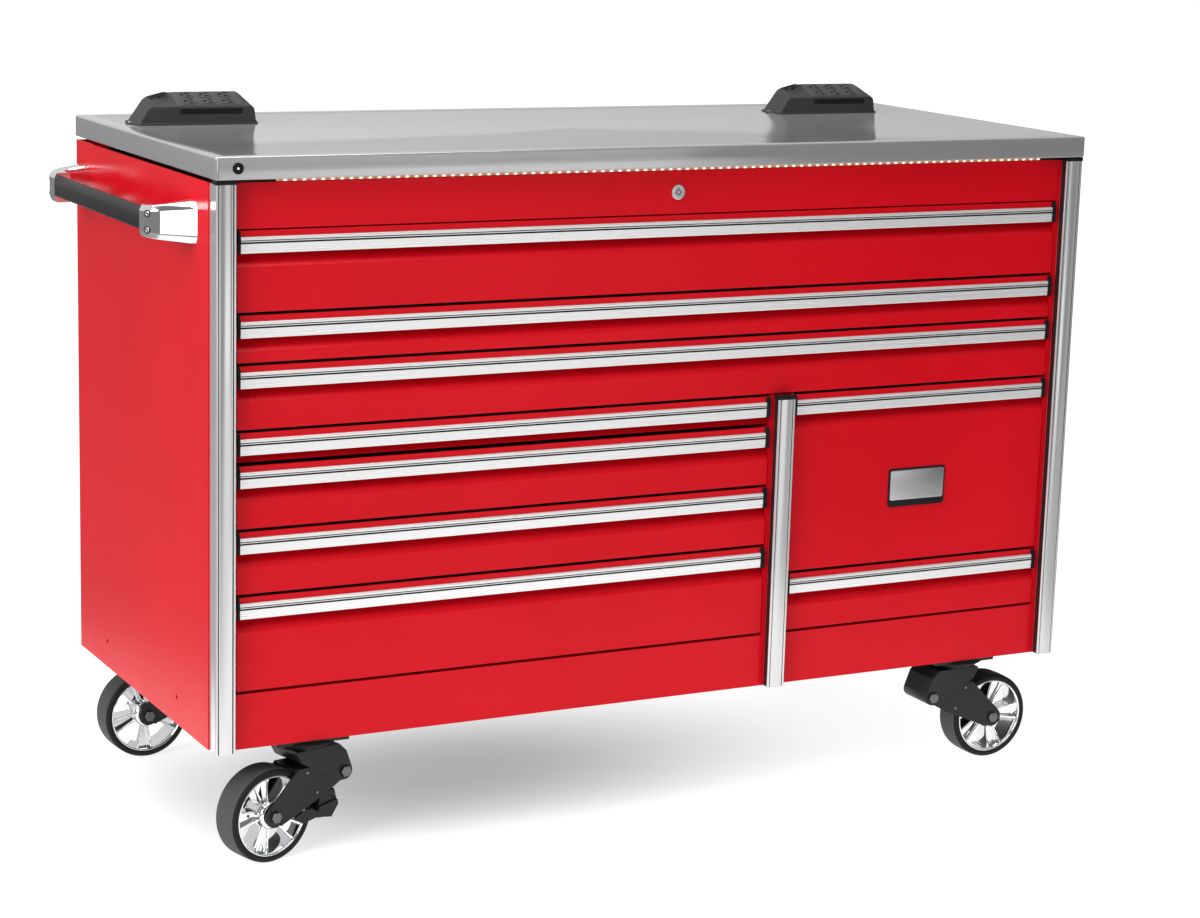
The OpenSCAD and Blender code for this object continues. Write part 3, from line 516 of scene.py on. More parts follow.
class Finish:
    """Every finish of the cabinet, made once and shared."""

    def __init__(self) -> None:
        """Builds the materials by the record's slot names, and a few that belong to small details."""
        red, deep = (0.67, 0.004, 0.013), (0.6, 0.003, 0.01)
        plastic, pitch_black = (0.014, 0.014, 0.015), (0.008, 0.008, 0.009)
        finishes = [
            GlossPaint("red_paint", red, deep),
            BrushedMetal("stainless", grey(0.51), 0.1, Axis.X, 0.015, 0.6, 0.02),
            Moulded("dark_board", grey(0.035), grey(0.02), 0.7, 300.0, 0.3),
            LightLens("light_lens"),
            BrushedMetal("aluminium_trim", grey(0.85), 0.26, Axis.X, 0.01, 0.5, 0.02, 0.05),
            BrushedMetal("post_aluminium", grey(0.68), 0.11, Axis.Z, 0.01, 0.7, 0.02, 0.05),
            BrushedMetal("zinc_steel", (0.6, 0.61, 0.63), 0.36, Axis.Y, 0.08),
            Moulded("black_plastic", plastic, pitch_black, 0.42, gloss=0.12),
            Moulded("grip_rubber", grey(0.02), grey(0.014), 0.5, 700.0, 0.2),
            Chrome("chrome"),
            Chrome("satin_chrome", (0.6, 0.6, 0.62), 0.22),
            Moulded("strip_plastic", grey(0.036), grey(0.026), 0.45, 600.0, 0.2),
            GlossPaint("black_paint", grey(0.016), grey(0.01), 0.4, 0.1, 0.08, 0.22),
            Moulded("wheel_rubber", grey(0.07), grey(0.05), 0.62, 500.0, 0.25, 0.12),
            # darker rubber for skins over the tyres' walls and shoulders: painted shade on the sides turned
            # from the light
            Moulded("painted_shade_rubber", grey(0.015), grey(0.01), 0.5, 500.0, 0.12, 0.06, 0.15),
            BrushedMetal("bolt_steel", grey(0.16), 0.3, Axis.Z, 0.05),
            Moulded("rocker_gloss", grey(0.016), grey(0.01), 0.16, 700.0, 0.04, gloss=0.5),
            Moulded("outlet_face", grey(0.06), grey(0.046), 0.45, 600.0, 0.1),
            # near-black for painted shade: strips in the pulls' and posts' grooves and the outlet slot
            # patches
            Moulded("pitch", grey(0.006), grey(0.004), 0.7, 300.0, 0.05, gloss=0.05),
            LightLens("lamp_dot", 0.262, 3.0),
        ]
        self.made = {finish.name: finish.material() for finish in finishes}

    def __getitem__(self, name: str) -> bpy.types.Material:
        """The material of that name."""
        return self.made[name]


FINISH = Finish()


def put(name: str, shell: Shell, material: str, body: str,
        replaces: Sequence[str] = (), bevel: float = 0.0, sharp: float = 35.0) -> None:
    """Makes a piece from a shell, in place, and hangs it on its body.

    Args:
        name: the piece's name.
        shell: its surface, in millimetres.
        material: its finish.
        body: the body that it rides on.
        replaces: nodes that it stands for.
        bevel: width of rounded edges in millimetres, none at 0.
        sharp: edges steeper than this angle stay crisp.
    """
    mesh = bpy.data.meshes.new(name)
    mesh.from_pydata((shell.points * MM).tolist(), [], shell.faces)
    mesh.polygons.foreach_set("use_smooth", np.ones(len(mesh.polygons), bool))
    mesh.set_sharp_from_angle(angle=math.radians(sharp))
    mesh.materials.append(FINISH[material])
    mesh.update()
    piece = bpy.data.objects.new(name, mesh)
    bpy.context.scene.collection.objects.link(piece)
    if bevel:
        soften(piece, bevel)
    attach(piece, body)
    if replaces:
        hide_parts(*replaces)
    log.info("%s: %d faces on %s", name, len(mesh.polygons), body)


def soften(piece: bpy.types.Object, width: float, segments: int = 3, weld: bool = False) -> None:
    """Rounds a piece's crisp edges with a Bevel.

    Args:
        piece: the object.
        width: the bevel's width in millimetres.
        segments: steps in the rounding.
        weld: joins loose triangles first, and merges those that lie in one plane.
    """
    if weld:
        join_up = piece.modifiers.new("join", "WELD")
        join_up.merge_threshold = 1e-5
        flat = piece.modifiers.new("flat", "DECIMATE")
        flat.decimate_type, flat.angle_limit = "DISSOLVE", math.radians(1)
    edge = piece.modifiers.new("edge", "BEVEL")
    edge.width, edge.segments = width * MM, segments
    edge.limit_method, edge.angle_limit = "ANGLE", math.radians(30)


# Sub-assemblies


@dataclass
class Carcass:
    """The nodes that keep their shape and get a finish and softened edges."""

    red: tuple[str, ...] = ("left_side_panel", "right_side_panel", "back_panel", "front_frame",
                            "bank_divider")
    black_steel: tuple[str, ...] = ("floor_pan", "caster_mounts", "brake_pedal", "swivel_fork_front",
                                    "swivel_fork_rear")
    edge: float = 0.8

    def dress(self) -> None:
        """Gives every kept node its finish."""
        drawers = tuple(f"drawer_{k}" for k in range(1, 10))
        slides = tuple(f"slide_{k}" for k in range(1, 10)) + ("cabinet_rails",)
        arms = tuple(f"swing_arm_{c.value[0]}" for c in Corner)
        rows = [(self.red + drawers, "red_paint", self.edge), (slides, "zinc_steel", 0.25),
                (self.black_steel + arms, "black_paint", self.edge), (("post_caps",), "black_plastic", 0.7),
                (("worktop_core",), "dark_board", 0.5), (("light_strip",), "light_lens", 0.4),
                (("lock_housing",), "chrome", 0.6), (("lock_plug",), "satin_chrome", 0.2),
                (("switch_bezel", "light_button"), "black_plastic", 0.4),
                (("rocker_left", "rocker_right"), "rocker_gloss", 0.4)]
        for nodes, finish, width in rows:
            for name in nodes:
                self.finish_node(name, finish, width)

    @staticmethod
    def finish_node(name: str, finish: str, width: float) -> None:
        """Dresses one node.

        Args:
            name: the node.
            finish: its finish.
            width: bevel width in millimetres.
        """
        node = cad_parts[name]
        if not node.material_slots:
            node.data.materials.append(FINISH[finish])
        for place in node.material_slots:
            place.material = FINISH[finish]
        soften(node, width, 2, weld=True)
        log.info("%s: %s", name, finish)


@dataclass
class Worktop:
    """The folded stainless top."""

    left: float = -824.5
    right: float = 902.5
    front: float = -374.25
    rear: float = 375.75
    bottom: float = 1179.4
    top: float = 1217.8
    drop: float = 1.5
    rim: float = 28.0
    sheet: float = 2.0
    hem: float = 26.0
    corner: float = 6.0
    fold: float = 3.5
    curl: float = 2.5

    def build(self) -> None:
        """Carries the fold's section round the plan.

        Each ring is a rounded rectangle, set in by the section's inset at that height.
        """
        z0, z1, field_z = self.bottom, self.top, self.top - self.drop
        f, low, rim = self.fold, self.curl, self.rim
        section = np.concatenate([
            [(self.sheet, field_z - self.sheet), (self.sheet, z0 + self.sheet), (self.hem, z0 + self.sheet),
             (self.hem, z0)],
            arc(low, z0 + low, low, -90, -180, 6),
            arc(f, z1 - f, f, 180, 90, 8),
            [(rim - 1.5, z1), (rim - 0.7, z1 - 0.15), (rim, z1 - 0.6), (rim + 0.6, field_z + 0.3),
             (rim + 1.6, field_z)],
        ])
        width, depth = self.right - self.left, self.rear - self.front
        middle = ((self.left + self.right) / 2, (self.front + self.rear) / 2)
        radii = np.maximum(self.corner - section[:, 0], 1.2)
        loops = np.stack([rounded_rect(width - 2 * d, depth - 2 * d, r, 7)
                          for d, r in zip(section[:, 0], radii)])
        heights = np.broadcast_to(section[:, 1, None, None], loops.shape[:2] + (1,))
        rings = np.concatenate([loops + middle, heights], axis=-1)
        put("worktop_sheet", loft(rings), "stainless", "cabinet", replaces=["worktop"], sharp=40)


@dataclass
class TrimPosts:
    """The aluminium corner posts and centre post.

    A post's row holds its outer face in x, its hand, how far back its outer leg goes, and its top.
    """

    width: float = 36.0
    front: float = -371.75
    crown: float = 1.2
    rise: float = 1.6
    band_in: float = 6.4
    groove_in: float = 5.2
    groove: float = 1.2
    bead: float = 2.0
    neck: float = 2.5
    wall: float = 3.0
    proud: float = 20.0
    bottom: float = 211.0
    # how far back the grooves' strips of painted shade sit
    line_back: float = 2.1
    # where the dark glossy strips on the posts' sides sit: behind the front, and out past the neck
    side_strip_back: float = 12.3
    side_strip_out: float = 0.3
    posts: tuple[tuple[float, float, float, float], ...] = (
        (-822.5, 1.0, 38.0, 1171.8), (900.5, -1.0, 38.0, 1171.8), (254.0, 1.0, 20.0, 752.6))

    def section(self, outer: float, inner: float) -> np.ndarray:
        """Outline of a post: across is x, back is y.

        The face is the flat at the crown's height or the crown's circle, whichever stands further forward,
        cut back by the two grooves' circles.

        Args:
            outer: how far back the outer leg goes.
            inner: how far back the inner leg goes.

        Returns:
            The loop as (points, 2).
        """
        w, b = self.width, self.bead
        half = w / 2 - self.band_in
        radius = (half**2 + self.rise**2) / (2 * self.rise)
        x = np.linspace(b, w - b, 129)
        chord = np.minimum(np.abs(x - w / 2), radius)
        face = np.minimum(self.crown, radius - np.sqrt(radius**2 - chord**2))
        for at in (self.groove_in, w - self.groove_in):
            cut = self.crown - 0.2 + np.sqrt(np.maximum(self.groove**2 - (x - at) ** 2, 0))
            face = np.where(np.abs(x - at) < self.groove, np.maximum(face, cut), face)
        back, left, right = self.crown + 2 * b, self.neck + self.wall, w - self.neck - self.wall
        return np.concatenate([
            [(self.neck, outer), (self.neck, back)],
            arc(b, self.crown + b, b, 90, 270, 13),
            np.stack([x, face], axis=-1)[1:-1],
            arc(w - b, self.crown + b, b, -90, 90, 13),
            [(w - self.neck, back), (w - self.neck, inner), (right, inner), (right, back), (left, back),
             (left, outer)],
        ])

    def strips(self, outline: np.ndarray, seats: Sequence[tuple[tuple, float, float]]) -> Shell:
        """Thin strips that run up the posts.

        Args:
            outline: a strip's section.
            seats: the post's row, the place across it and the place behind its front, for each strip.

        Returns:
            One shell with all strips.
        """
        shells = []
        for (x, hand, _, top), across, back in seats:
            place = (x + hand * across, self.front + back)
            path = np.array([(*place, self.bottom + 0.2), (*place, top - 0.2)])
            shells.append(sweep(outline, path, hand * RIGHT, BACK))
        return join(shells)

    def build(self) -> None:
        """Carries the section up each post, the right one mirrored, then adds dark strips of painted shade in
        the grooves and dark glossy strips along the posts' sides.
        """
        shells = []
        for x, hand, outer, top in self.posts:
            path = np.array([(x, self.front, self.bottom), (x, self.front, top)])
            shells.append(sweep(self.section(outer, self.proud), path, hand * RIGHT, BACK))
        put("trim_post_bars", join(shells), "post_aluminium", "cabinet", ["trim_posts"],
            sharp=25)
        # dark strips inside every groove: painted shade where the grooves stay dark
        grooves = [(post, at, self.line_back) for post in self.posts
                   for at in (self.groove_in, self.width - self.groove_in)]
        lines = self.strips(rounded_rect(1.0, 1.0, 0.2, 2), grooves)
        put("post_groove_shade", lines, "pitch", "cabinet")
        # dark glossy strips along the posts' sides, which show dark
        near, far = self.neck - self.side_strip_out, self.width - self.neck + self.side_strip_out
        legs = [(post, far, self.side_strip_back) for post in self.posts] + [(self.posts[2], near, self.side_strip_back)]
        side_strips = self.strips(rounded_rect(0.5, 13.6, 0.2, 2), legs)
        put("post_side_strips", side_strips, "rocker_gloss", "cabinet")


@dataclass
class DrawerPull:
    """The aluminium pull along one drawer front, with its two end caps."""

    number: int
    top: float
    bank: Bank
    face: float = -351.75
    strip: float = 10.3
    height: float = 28.0
    proud: float = 4.5
    wall: float = 4.5
    land: float = 3.0
    land_height: float = 9.7
    cap: float = 9.0
    left_cap: float = 5.0
    seam: float = 0.1
    grooves: tuple[tuple[float, float], ...] = ((6.3, 0.9), (10.0, 1.5))
    # how deep the strips of painted shade sit in the grooves
    line: float = 0.35
    slope: float = 0.8

    def section(self) -> np.ndarray:
        """Outline of the bar: y back from the painted face, z down from the bar's top.

        The front is a straight line from nose to grooves, cut back by each groove's circle; below them it
        falls back in a straight line to the lip.

        Returns:
            The loop as (points, 2).
        """
        r = self.wall / 2
        z = np.linspace(-r, -self.height + r, 161)
        y = np.full_like(z, -self.proud)
        for at, radius in self.grooves:
            y += np.sqrt(np.maximum(radius**2 - (z + at) ** 2, 0))
        low = self.grooves[-1][0]
        y += self.slope * np.where(-z > low, (-z - low) / (self.height - r - low), 0)
        lip = arc(-self.proud + self.slope / 2 + r, -self.height + r, r - self.slope / 2, 180, 360, 13)
        return np.concatenate([
            arc(-self.proud + r, -r, r, 90, 180, 9)[:-1],
            np.stack([y, z], axis=-1),
            lip[1:],
            [(-self.proud + self.wall, -self.land_height), (self.land, -self.land_height), (self.land, 0.0)],
        ])

    def build(self) -> None:
        """Carries the bar's section between the caps, lays dark strips in the grooves as painted shade, and
        carries each cap's section over its own width.
        """
        x0, x1 = self.bank.value
        body, node = f"drawer_body_{self.number}", f"pull_{self.number}"
        z = self.top - self.strip
        ends = x0 + self.left_cap + self.seam, x1 - self.cap - self.seam
        path = np.array([(x, self.face, z) for x in ends])
        bar = sweep(self.section(), path, BACK, UP)
        put(f"pull_bar_{self.number}", bar, "aluminium_trim", body, replaces=[node], sharp=30)
        # dark strips set into the two grooves: painted shade where the grooves stay dark
        behind = self.line + 0.5 - self.proud
        lines = [sweep(rounded_rect(1.0, 2 * (radius - 0.3), 0.2, 2), path + (0, behind, -at), BACK, UP)
                 for at, radius in self.grooves]
        put(f"pull_groove_shade_{self.number}", join(lines), "pitch", body)
        put(f"pull_caps_{self.number}", self.caps(), "black_plastic", body, replaces=[node], bevel=0.7)

    def caps(self) -> Shell:
        """Both end caps: the outline covers the end of the bar and of the painted strip.

        Returns:
            One shell with the two caps.
        """
        y = self.proud + 0.5
        foot = -self.strip - self.height
        corners = [(0, 0), (-y / 3, 0), (-y, -self.strip), (-y, foot), (-self.proud + self.wall, foot),
                   (-self.proud + self.wall, -self.strip - self.land_height),
                   (self.land, -self.strip - self.land_height), (self.land, -self.strip), (0, -self.strip)]
        outline = np.array(corners, float)
        x0, x1 = self.bank.value
        spans = [(x0, x0 + self.left_cap), (x1 - self.cap, x1)]
        return join([sweep(outline, np.array([(x, self.face, self.top) for x in span]), BACK, UP)
                     for span in spans])


@dataclass
class BadgePlate:
    """The plain framed plate on the tall drawer's front."""

    left: float = 511.5
    right: float = 636.5
    low: float = 529.0
    high: float = 602.0
    face: float = -351.75
    border: float = 3.2
    band: float = 13.0
    thick: float = 2.6

    def build(self) -> None:
        """A rounded dark plate with a bright field over a plain dark band."""
        middle = ((self.left + self.right) / 2, self.face, (self.low + self.high) / 2)
        size = (self.right - self.left, self.high - self.low)
        plate = slab(rounded_rect(*size, 6, 8), middle, RIGHT, UP, 0.0, self.thick, 1.0)
        put("badge_frame", plate, "black_plastic", "drawer_body_8")
        inner = (size[0] - 2 * self.border, size[1] - self.border - self.band)
        middle = (middle[0], self.face, self.high - self.border - inner[1] / 2)
        field = slab(rounded_rect(*inner, 4, 8), middle, RIGHT, UP, 1.5, self.thick + 0.35, 0.3)
        put("badge_field", field, "satin_chrome", "drawer_body_8")


@dataclass
class PushHandle:
    """The side handle: two chrome brackets, a grip and its screws."""

    wall_x: float = -822.5
    axis_z: float = 1099.8
    reach: float = 80.0
    foot: float = 45.0
    span: float = 58.0
    bend: float = 41.2
    facet: float = 56.3
    lean: float = 20.0
    inner_bend: float = 13.0
    grip_w: float = 30.0
    grip_h: float = 37.0
    wall_h: float = 70.0
    end_h: float = 53.0
    pad: float = 7.0
    front: float = -282.25
    rear: float = 329.75
    grip_from: float = -224.25
    grip_to: float = 247.75
    screw: float = 4.6
    screw_turn: float = 58.0
    screw_apart: float = 27.0

    def rings(self) -> tuple[np.ndarray, np.ndarray, np.ndarray]:
        """Rails of the bracket: the outer and inner edge in plan, and the half height.

        The outer edge is a straight facet that leans back from the wall, then an arc up to the grip's line;
        the inner one is a straight line, then a hollow quarter circle. The height falls evenly from the pad
        at the wall to the grip.

        Returns:
            Outer points, inner points and half heights, one row for each ring.
        """
        t = np.linspace(0, 1, 49)
        lead = 0.5
        turn, s = np.clip((t - lead) / (1 - lead), 0, 1), np.clip(t / lead, 0, 1)
        lean = math.radians(self.lean)
        a = lean + turn * (math.pi / 2 - lean)
        outer = np.stack([s * self.facet * math.cos(lean) + self.bend * (np.sin(a) - math.sin(lean)),
                          s * self.facet * math.sin(lean) + self.bend * (math.cos(lean) - np.cos(a))], -1)
        line = self.reach - self.grip_w - self.inner_bend
        q = turn * math.pi / 2
        inner = np.stack([s * line + self.inner_bend * np.sin(q),
                          self.foot + self.inner_bend * (1 - np.cos(q))], -1)
        fall = np.clip((outer[:, 0] - self.pad) / (self.reach - self.pad), 0, 1)
        return outer, inner, (self.wall_h + (self.end_h - self.wall_h) * fall) / 2

    def bracket(self, y: float, hand: float, sleeve: float = 0.0) -> Shell:
        """One bracket as a stack of plates between its two rails, with wide chamfers along the outer face.

        Args:
            y: the bracket's far edge.
            hand: 1 towards the back, -1 towards the front.
            sleeve: how far it goes on straight along the bar.

        Returns:
            The closed shell.
        """
        outer, inner, half = self.rings()
        if sleeve:
            outer, inner = (np.concatenate([rail, rail[-1:] + (0, sleeve)]) for rail in (outer, inner))
            half = np.append(half, half[-1])
        corners = [(-1, -0.66), (-1, 0.66), (-0.72, 1), (1, 1), (1, -1), (-0.72, -1)]
        unit = round_corners(corners, (0.12, 0.12, 0.2, 0.3, 0.3, 0.2), 6)
        middle, across = (outer + inner) / 2, (inner - outer) / 2
        plan = middle[:, None] + unit[None, :, :1] * across[:, None]
        rings = np.stack([self.wall_x - plan[..., 0], y + hand * plan[..., 1],
                          self.axis_z + unit[None, :, 1] * half[:, None]], axis=-1)
        return loft(rings)

    def build(self) -> None:
        """Builds the brackets, the grip with rounded shoulders, and two screws in each bracket."""
        sleeve = self.rear - self.span - self.grip_to
        brackets = [self.bracket(self.front, 1.0), self.bracket(self.rear, -1.0, sleeve)]
        put("handle_elbows", join(brackets), "chrome", "cabinet", replaces=["handle_brackets"], sharp=60)
        y = np.concatenate([self.grip_from + np.array([0.0, 0.4, 1.2, 2.5]),
                            self.grip_to - np.array([2.5, 1.2, 0.4, 0.0])])
        pull = np.array([2.2, 1.1, 0.4, 0.0, 0.0, 0.4, 1.1, 2.2])
        loops = np.stack([rounded_rect(self.grip_w - 2 * p, self.grip_h - 2 * p, 13.5 - p, 10) for p in pull])
        x = self.wall_x - self.reach + self.grip_w / 2
        path = np.stack([np.full_like(y, x), y, np.full_like(y, self.axis_z)], axis=-1)
        grip = sweep(loops, path, RIGHT, UP)
        put("handle_grip_bar", grip, "grip_rubber", "cabinet", replaces=["handle_grip"])
        r = self.screw
        button = np.array([(r, 0.0), (r, 0.7), (r * 0.85, 1.2), (2.3, 1.25), (2.2, 0.3)])
        heads = [lathe(button, place, normal, 24) for place, normal in self.seats()]
        put("handle_screws", join(heads), "satin_chrome", "cabinet", bevel=0.3)
        ring = np.array([(6.4, -0.6), (6.4, 0.35), (5.0, 0.35), (5.0, -0.6)])
        rims = [lathe(ring, place, normal, 32, closed=True) for place, normal in self.seats()]
        put("handle_screw_rims", join(rims), "black_plastic", "cabinet")

    def seats(self) -> list[tuple[np.ndarray, np.ndarray]]:
        """Where the screws sit: on the outer bend, as places with their outward directions."""
        a = math.radians(self.screw_turn)
        rows = []
        for y, hand in ((self.front, 1.0), (self.rear, -1.0)):
            out, along = self.reach - self.bend * (1 - math.sin(a)), self.span - self.bend * math.cos(a)
            normal = np.array([-math.sin(a), -hand * math.cos(a), 0.0])
            place = np.array([self.wall_x - out, y + hand * along, self.axis_z])
            rows += [(place + side * self.screw_apart / 2 * UP, normal) for side in (-1, 1)]
        return rows


@dataclass
class PowerStrip:
    """A sloping outlet housing on the worktop."""

    hand: str
    left: float
    front: float = 158.75
    base: float = 1216.3
    length: float = 228.0
    depth: float = 75.0
    top: float = 55.0
    lip: float = 31.0
    foot: float = 4.0
    ear: float = 9.0
    ramp_from: float = 32.0
    ramp_to: float = 73.0
    ramp_rise: float = 10.0
    rocker: tuple[float, float] = (52.5, 49.0)
    pocket: tuple[float, float, float, float] = (37.4, 67.6, 38.0, 60.0)
    pocket_deep: float = 5.0
    well: tuple[float, float, float, float] = (40.2, 64.8, 40.6, 57.4)
    well_deep: float = 12.0
    roof_from: float = 7.0
    roof_to: float = 59.0
    columns: tuple[float, ...] = (104.0, 140.0, 176.0)
    outlet_rows: tuple[float, ...] = (16.5, 41.0)
    slots: tuple[tuple[float, float, float, float], ...] = (
        (3.2, 5.0, 10.0, 3.6), (3.2, -5.0, 9.0, 3.6), (-7.6, 0.0, 6.0, 6.4))

    @property
    def pitch(self) -> float:
        """Rise of the roof for each millimetre towards the back."""
        return (self.top - self.lip - 2) / (self.roof_to - self.roof_from)

    @property
    def ramp(self) -> float:
        """Rise of the ramp under the rocker for each millimetre along the strip."""
        return self.ramp_rise / (self.ramp_to - self.ramp_from)

    def height(self, x: np.ndarray, y: np.ndarray) -> np.ndarray:
        """Height of the housing: the lowest of its wall and roof planes, with blended creases.

        Args:
            x: places along the strip.
            y: places from front to back.

        Returns:
            The heights over the foot.
        """
        low = self.top - self.ramp_rise
        front = self.foot + (y - 3) * 13.5
        roof = self.lip + 2 + (y - self.roof_from) * self.pitch
        back = self.foot + (self.depth - 3 - y) * 7.29
        left = self.foot + (x - 5) * (low - self.foot) / (self.ramp_from - 5)
        ramp = low + (x - self.ramp_from) * self.ramp
        shoulder = self.top + (self.length - 20 - x) * 2.0
        right = self.foot + (self.length - 4 - x) * 11.5
        z = np.full(np.broadcast(x, y).shape, self.top)
        for plane, crease in ((front, 7.0), (roof, 7.0), (back, 8.0), (left, 9.0), (ramp, 6.0),
                              (shoulder, 7.0), (right, 8.0)):
            z = smooth_min(z, np.broadcast_to(plane, z.shape), crease)
        return np.maximum(z, self.foot)

    def lines(self, low: float, high: float, marks: Sequence[float], step: float) -> np.ndarray:
        """Grid lines with a pair at every mark, so that a step there stays steep."""
        even = np.arange(low, high + step / 2, step)
        near = np.array([m + s for m in marks for s in (-0.15, 0.15)])
        keep = even[np.abs(even[:, None] - np.array(marks)[None]).min(1) > 0.5] if len(marks) else even
        return np.unique(np.concatenate([keep, near, [low, high]]))

    def housing(self) -> Shell:
        """The housing as one height field over its foot's plan, closed below by a flat floor."""
        p, w = self.pocket, self.well
        ends = (self.lines(4.8, 32, (), 0.9), self.lines(32, 208, (*p[:2], *w[:2]), 3.0),
                self.lines(208, 224.2, (), 0.7))
        x = np.unique(np.concatenate(ends))[:, None]
        sides = (self.lines(2.9, 12, (), 0.35), self.lines(12, 58, (*p[2:], *w[2:]), 2.5),
                 self.lines(58, 72.2, (), 0.5))
        y = np.unique(np.concatenate(sides))[None, :]
        z = self.height(x, y)
        ramp = self.top - self.ramp_rise / 2 + (x - self.rocker[0]) * self.ramp
        for rect, deep in ((p, self.pocket_deep), (w, self.well_deep)):
            inside = (x > rect[0]) & (x < rect[1]) & (y > rect[2]) & (y < rect[3])
            z = np.where(inside, np.minimum(z, ramp - deep), z)
        nx, ny = z.shape
        grid = np.stack([np.broadcast_to(x, z.shape), np.broadcast_to(y, z.shape), z], axis=-1)
        index = np.arange(nx * ny).reshape(nx, ny)
        corners = index[:-1, :-1], index[1:, :-1], index[1:, 1:], index[:-1, 1:]
        quads = np.stack(corners, axis=-1).reshape(-1, 4)
        rim = np.concatenate([index[:-1, 0], index[-1, :-1], index[:0:-1, -1], index[0, :0:-1]])
        return Shell(grid.reshape(-1, 3), quads.tolist() + [rim[::-1].tolist()]).outward()

    def flange(self) -> Shell:
        """The thin base with an ear at each end, its upper edge rounded over."""
        mid = self.depth / 2
        corners = [(0, 0), (self.length, 0), (self.length, mid - 14), (self.length + self.ear, mid - 5),
                   (self.length + self.ear, mid + 5), (self.length, mid + 14), (self.length, self.depth),
                   (0, self.depth), (0, mid + 14), (-self.ear, mid + 5), (-self.ear, mid - 5), (0, mid - 14)]
        outline = round_corners(corners, (5, 5, 8, 4, 4, 8, 5, 5, 8, 4, 4, 8), 5)
        return slab(outline, (0, 0, 0), RIGHT, BACK, 0.0, self.foot, 1.4)

    def roof(self, x: float, along: float) -> tuple[np.ndarray, np.ndarray, np.ndarray]:
        """Place and directions on the sloping roof.

        Args:
            x: place along the strip.
            along: place up the slope from the front edge.

        Returns:
            The point, the direction along the strip and the direction up the slope.
        """
        slope = math.atan(self.pitch)
        uphill = math.cos(slope) * BACK + math.sin(slope) * UP
        return np.array([x, self.roof_from, self.lip + 2]) + along * uphill, RIGHT, uphill

    def outlets(self) -> tuple[Shell, Shell]:
        """Six outlet faces in two rows on the roof panel, and their three slots each, as dark patches of
        painted shade for the holes.

        Returns:
            The faces, and the slots.
        """
        faces, slots = [], []
        for x in self.columns:
            for along in self.outlet_rows:
                p, u, v = self.roof(x, along)
                faces.append(slab(rounded_rect(28, 20, 8.5, 8), p, u, v, 0.6, 2.0, 0.6))
                for dx, dy, w, h in self.slots:
                    outline = rounded_rect(w, h, min(w, h) * 0.3, 4)
                    # each slot is a dark patch on the face: painted shade where a hole would be
                    slots.append(slab(outline, p + u * dx + v * dy, u, v, 1.0, 2.12))
        return join(faces), join(slots)

    def build(self) -> None:
        """Builds the housing, its roof panel, outlets, front field and screws in the ears."""
        place = np.array([self.left, self.front, self.base])
        faces, slots = self.outlets()
        middle = self.columns[1]
        panel = slab(rounded_rect(126, 52, 7, 8), *self.roof(middle, 28.8), -2.0, 0.8, 0.7)
        front_field = slab(rounded_rect(118, 21, 2.5, 6), (middle, 4.6, 18.5), RIGHT, UP, -1.6, 0.5, 0.3)
        dome = np.array([(3.6, 0), (3.6, 0.6), (2.6, 1.4), (1.2, 1.5)])
        screws = [lathe(dome, (x, self.depth / 2, self.foot - 0.2), UP, 20)
                  for x in (-3.0, self.length + 3.0)]
        rows = [("housing", join([self.housing(), self.flange()]), "strip_plastic", "strip_plastic",
                 ["power_strips"]),
                ("panel", panel, "outlet_face", "strip_plastic", ()),
                ("rocker_frame", self.ramp_frame(), "black_plastic", "black_plastic", ()),
                ("outlets", faces, "outlet_face", "strip_plastic", ()),
                ("slots", slots, "pitch", "black_plastic", ()),
                ("front_field", front_field, "black_plastic", "black_plastic", ()),
                ("screws", join(screws), "satin_chrome", "chrome", ())]
        for part, shell, finish, slot, stands_for in rows:
            set_down = Shell(shell.points + place, shell.faces)
            put(f"strip_{self.hand}_{part}", set_down, finish, "cabinet", stands_for, sharp=45)

    def ramp_frame(self) -> Shell:
        """A black frame on the ramp round the rocker's pocket, as a ring of rounded section."""
        tilt = math.atan(self.ramp)
        u, v = math.cos(tilt) * RIGHT + math.sin(tilt) * UP, BACK
        n = np.cross(u, v)
        centre = np.array([*self.rocker, self.top - self.ramp_rise / 2])
        ring = [(0.0, -0.6), (0.0, 0.5), (0.4, 0.9), (2.6, 0.9), (3.0, 0.5), (3.0, -0.6)]
        loops = [rounded_rect(30 + 2 * d, 22 + 2 * d, 1.5 + d, 5) for d, _ in ring]
        rings = np.stack([centre + a[:, :1] * u + a[:, 1:] * v + h * n for a, (_, h) in zip(loops, ring)])
        return loft(rings, ring_closed=True)


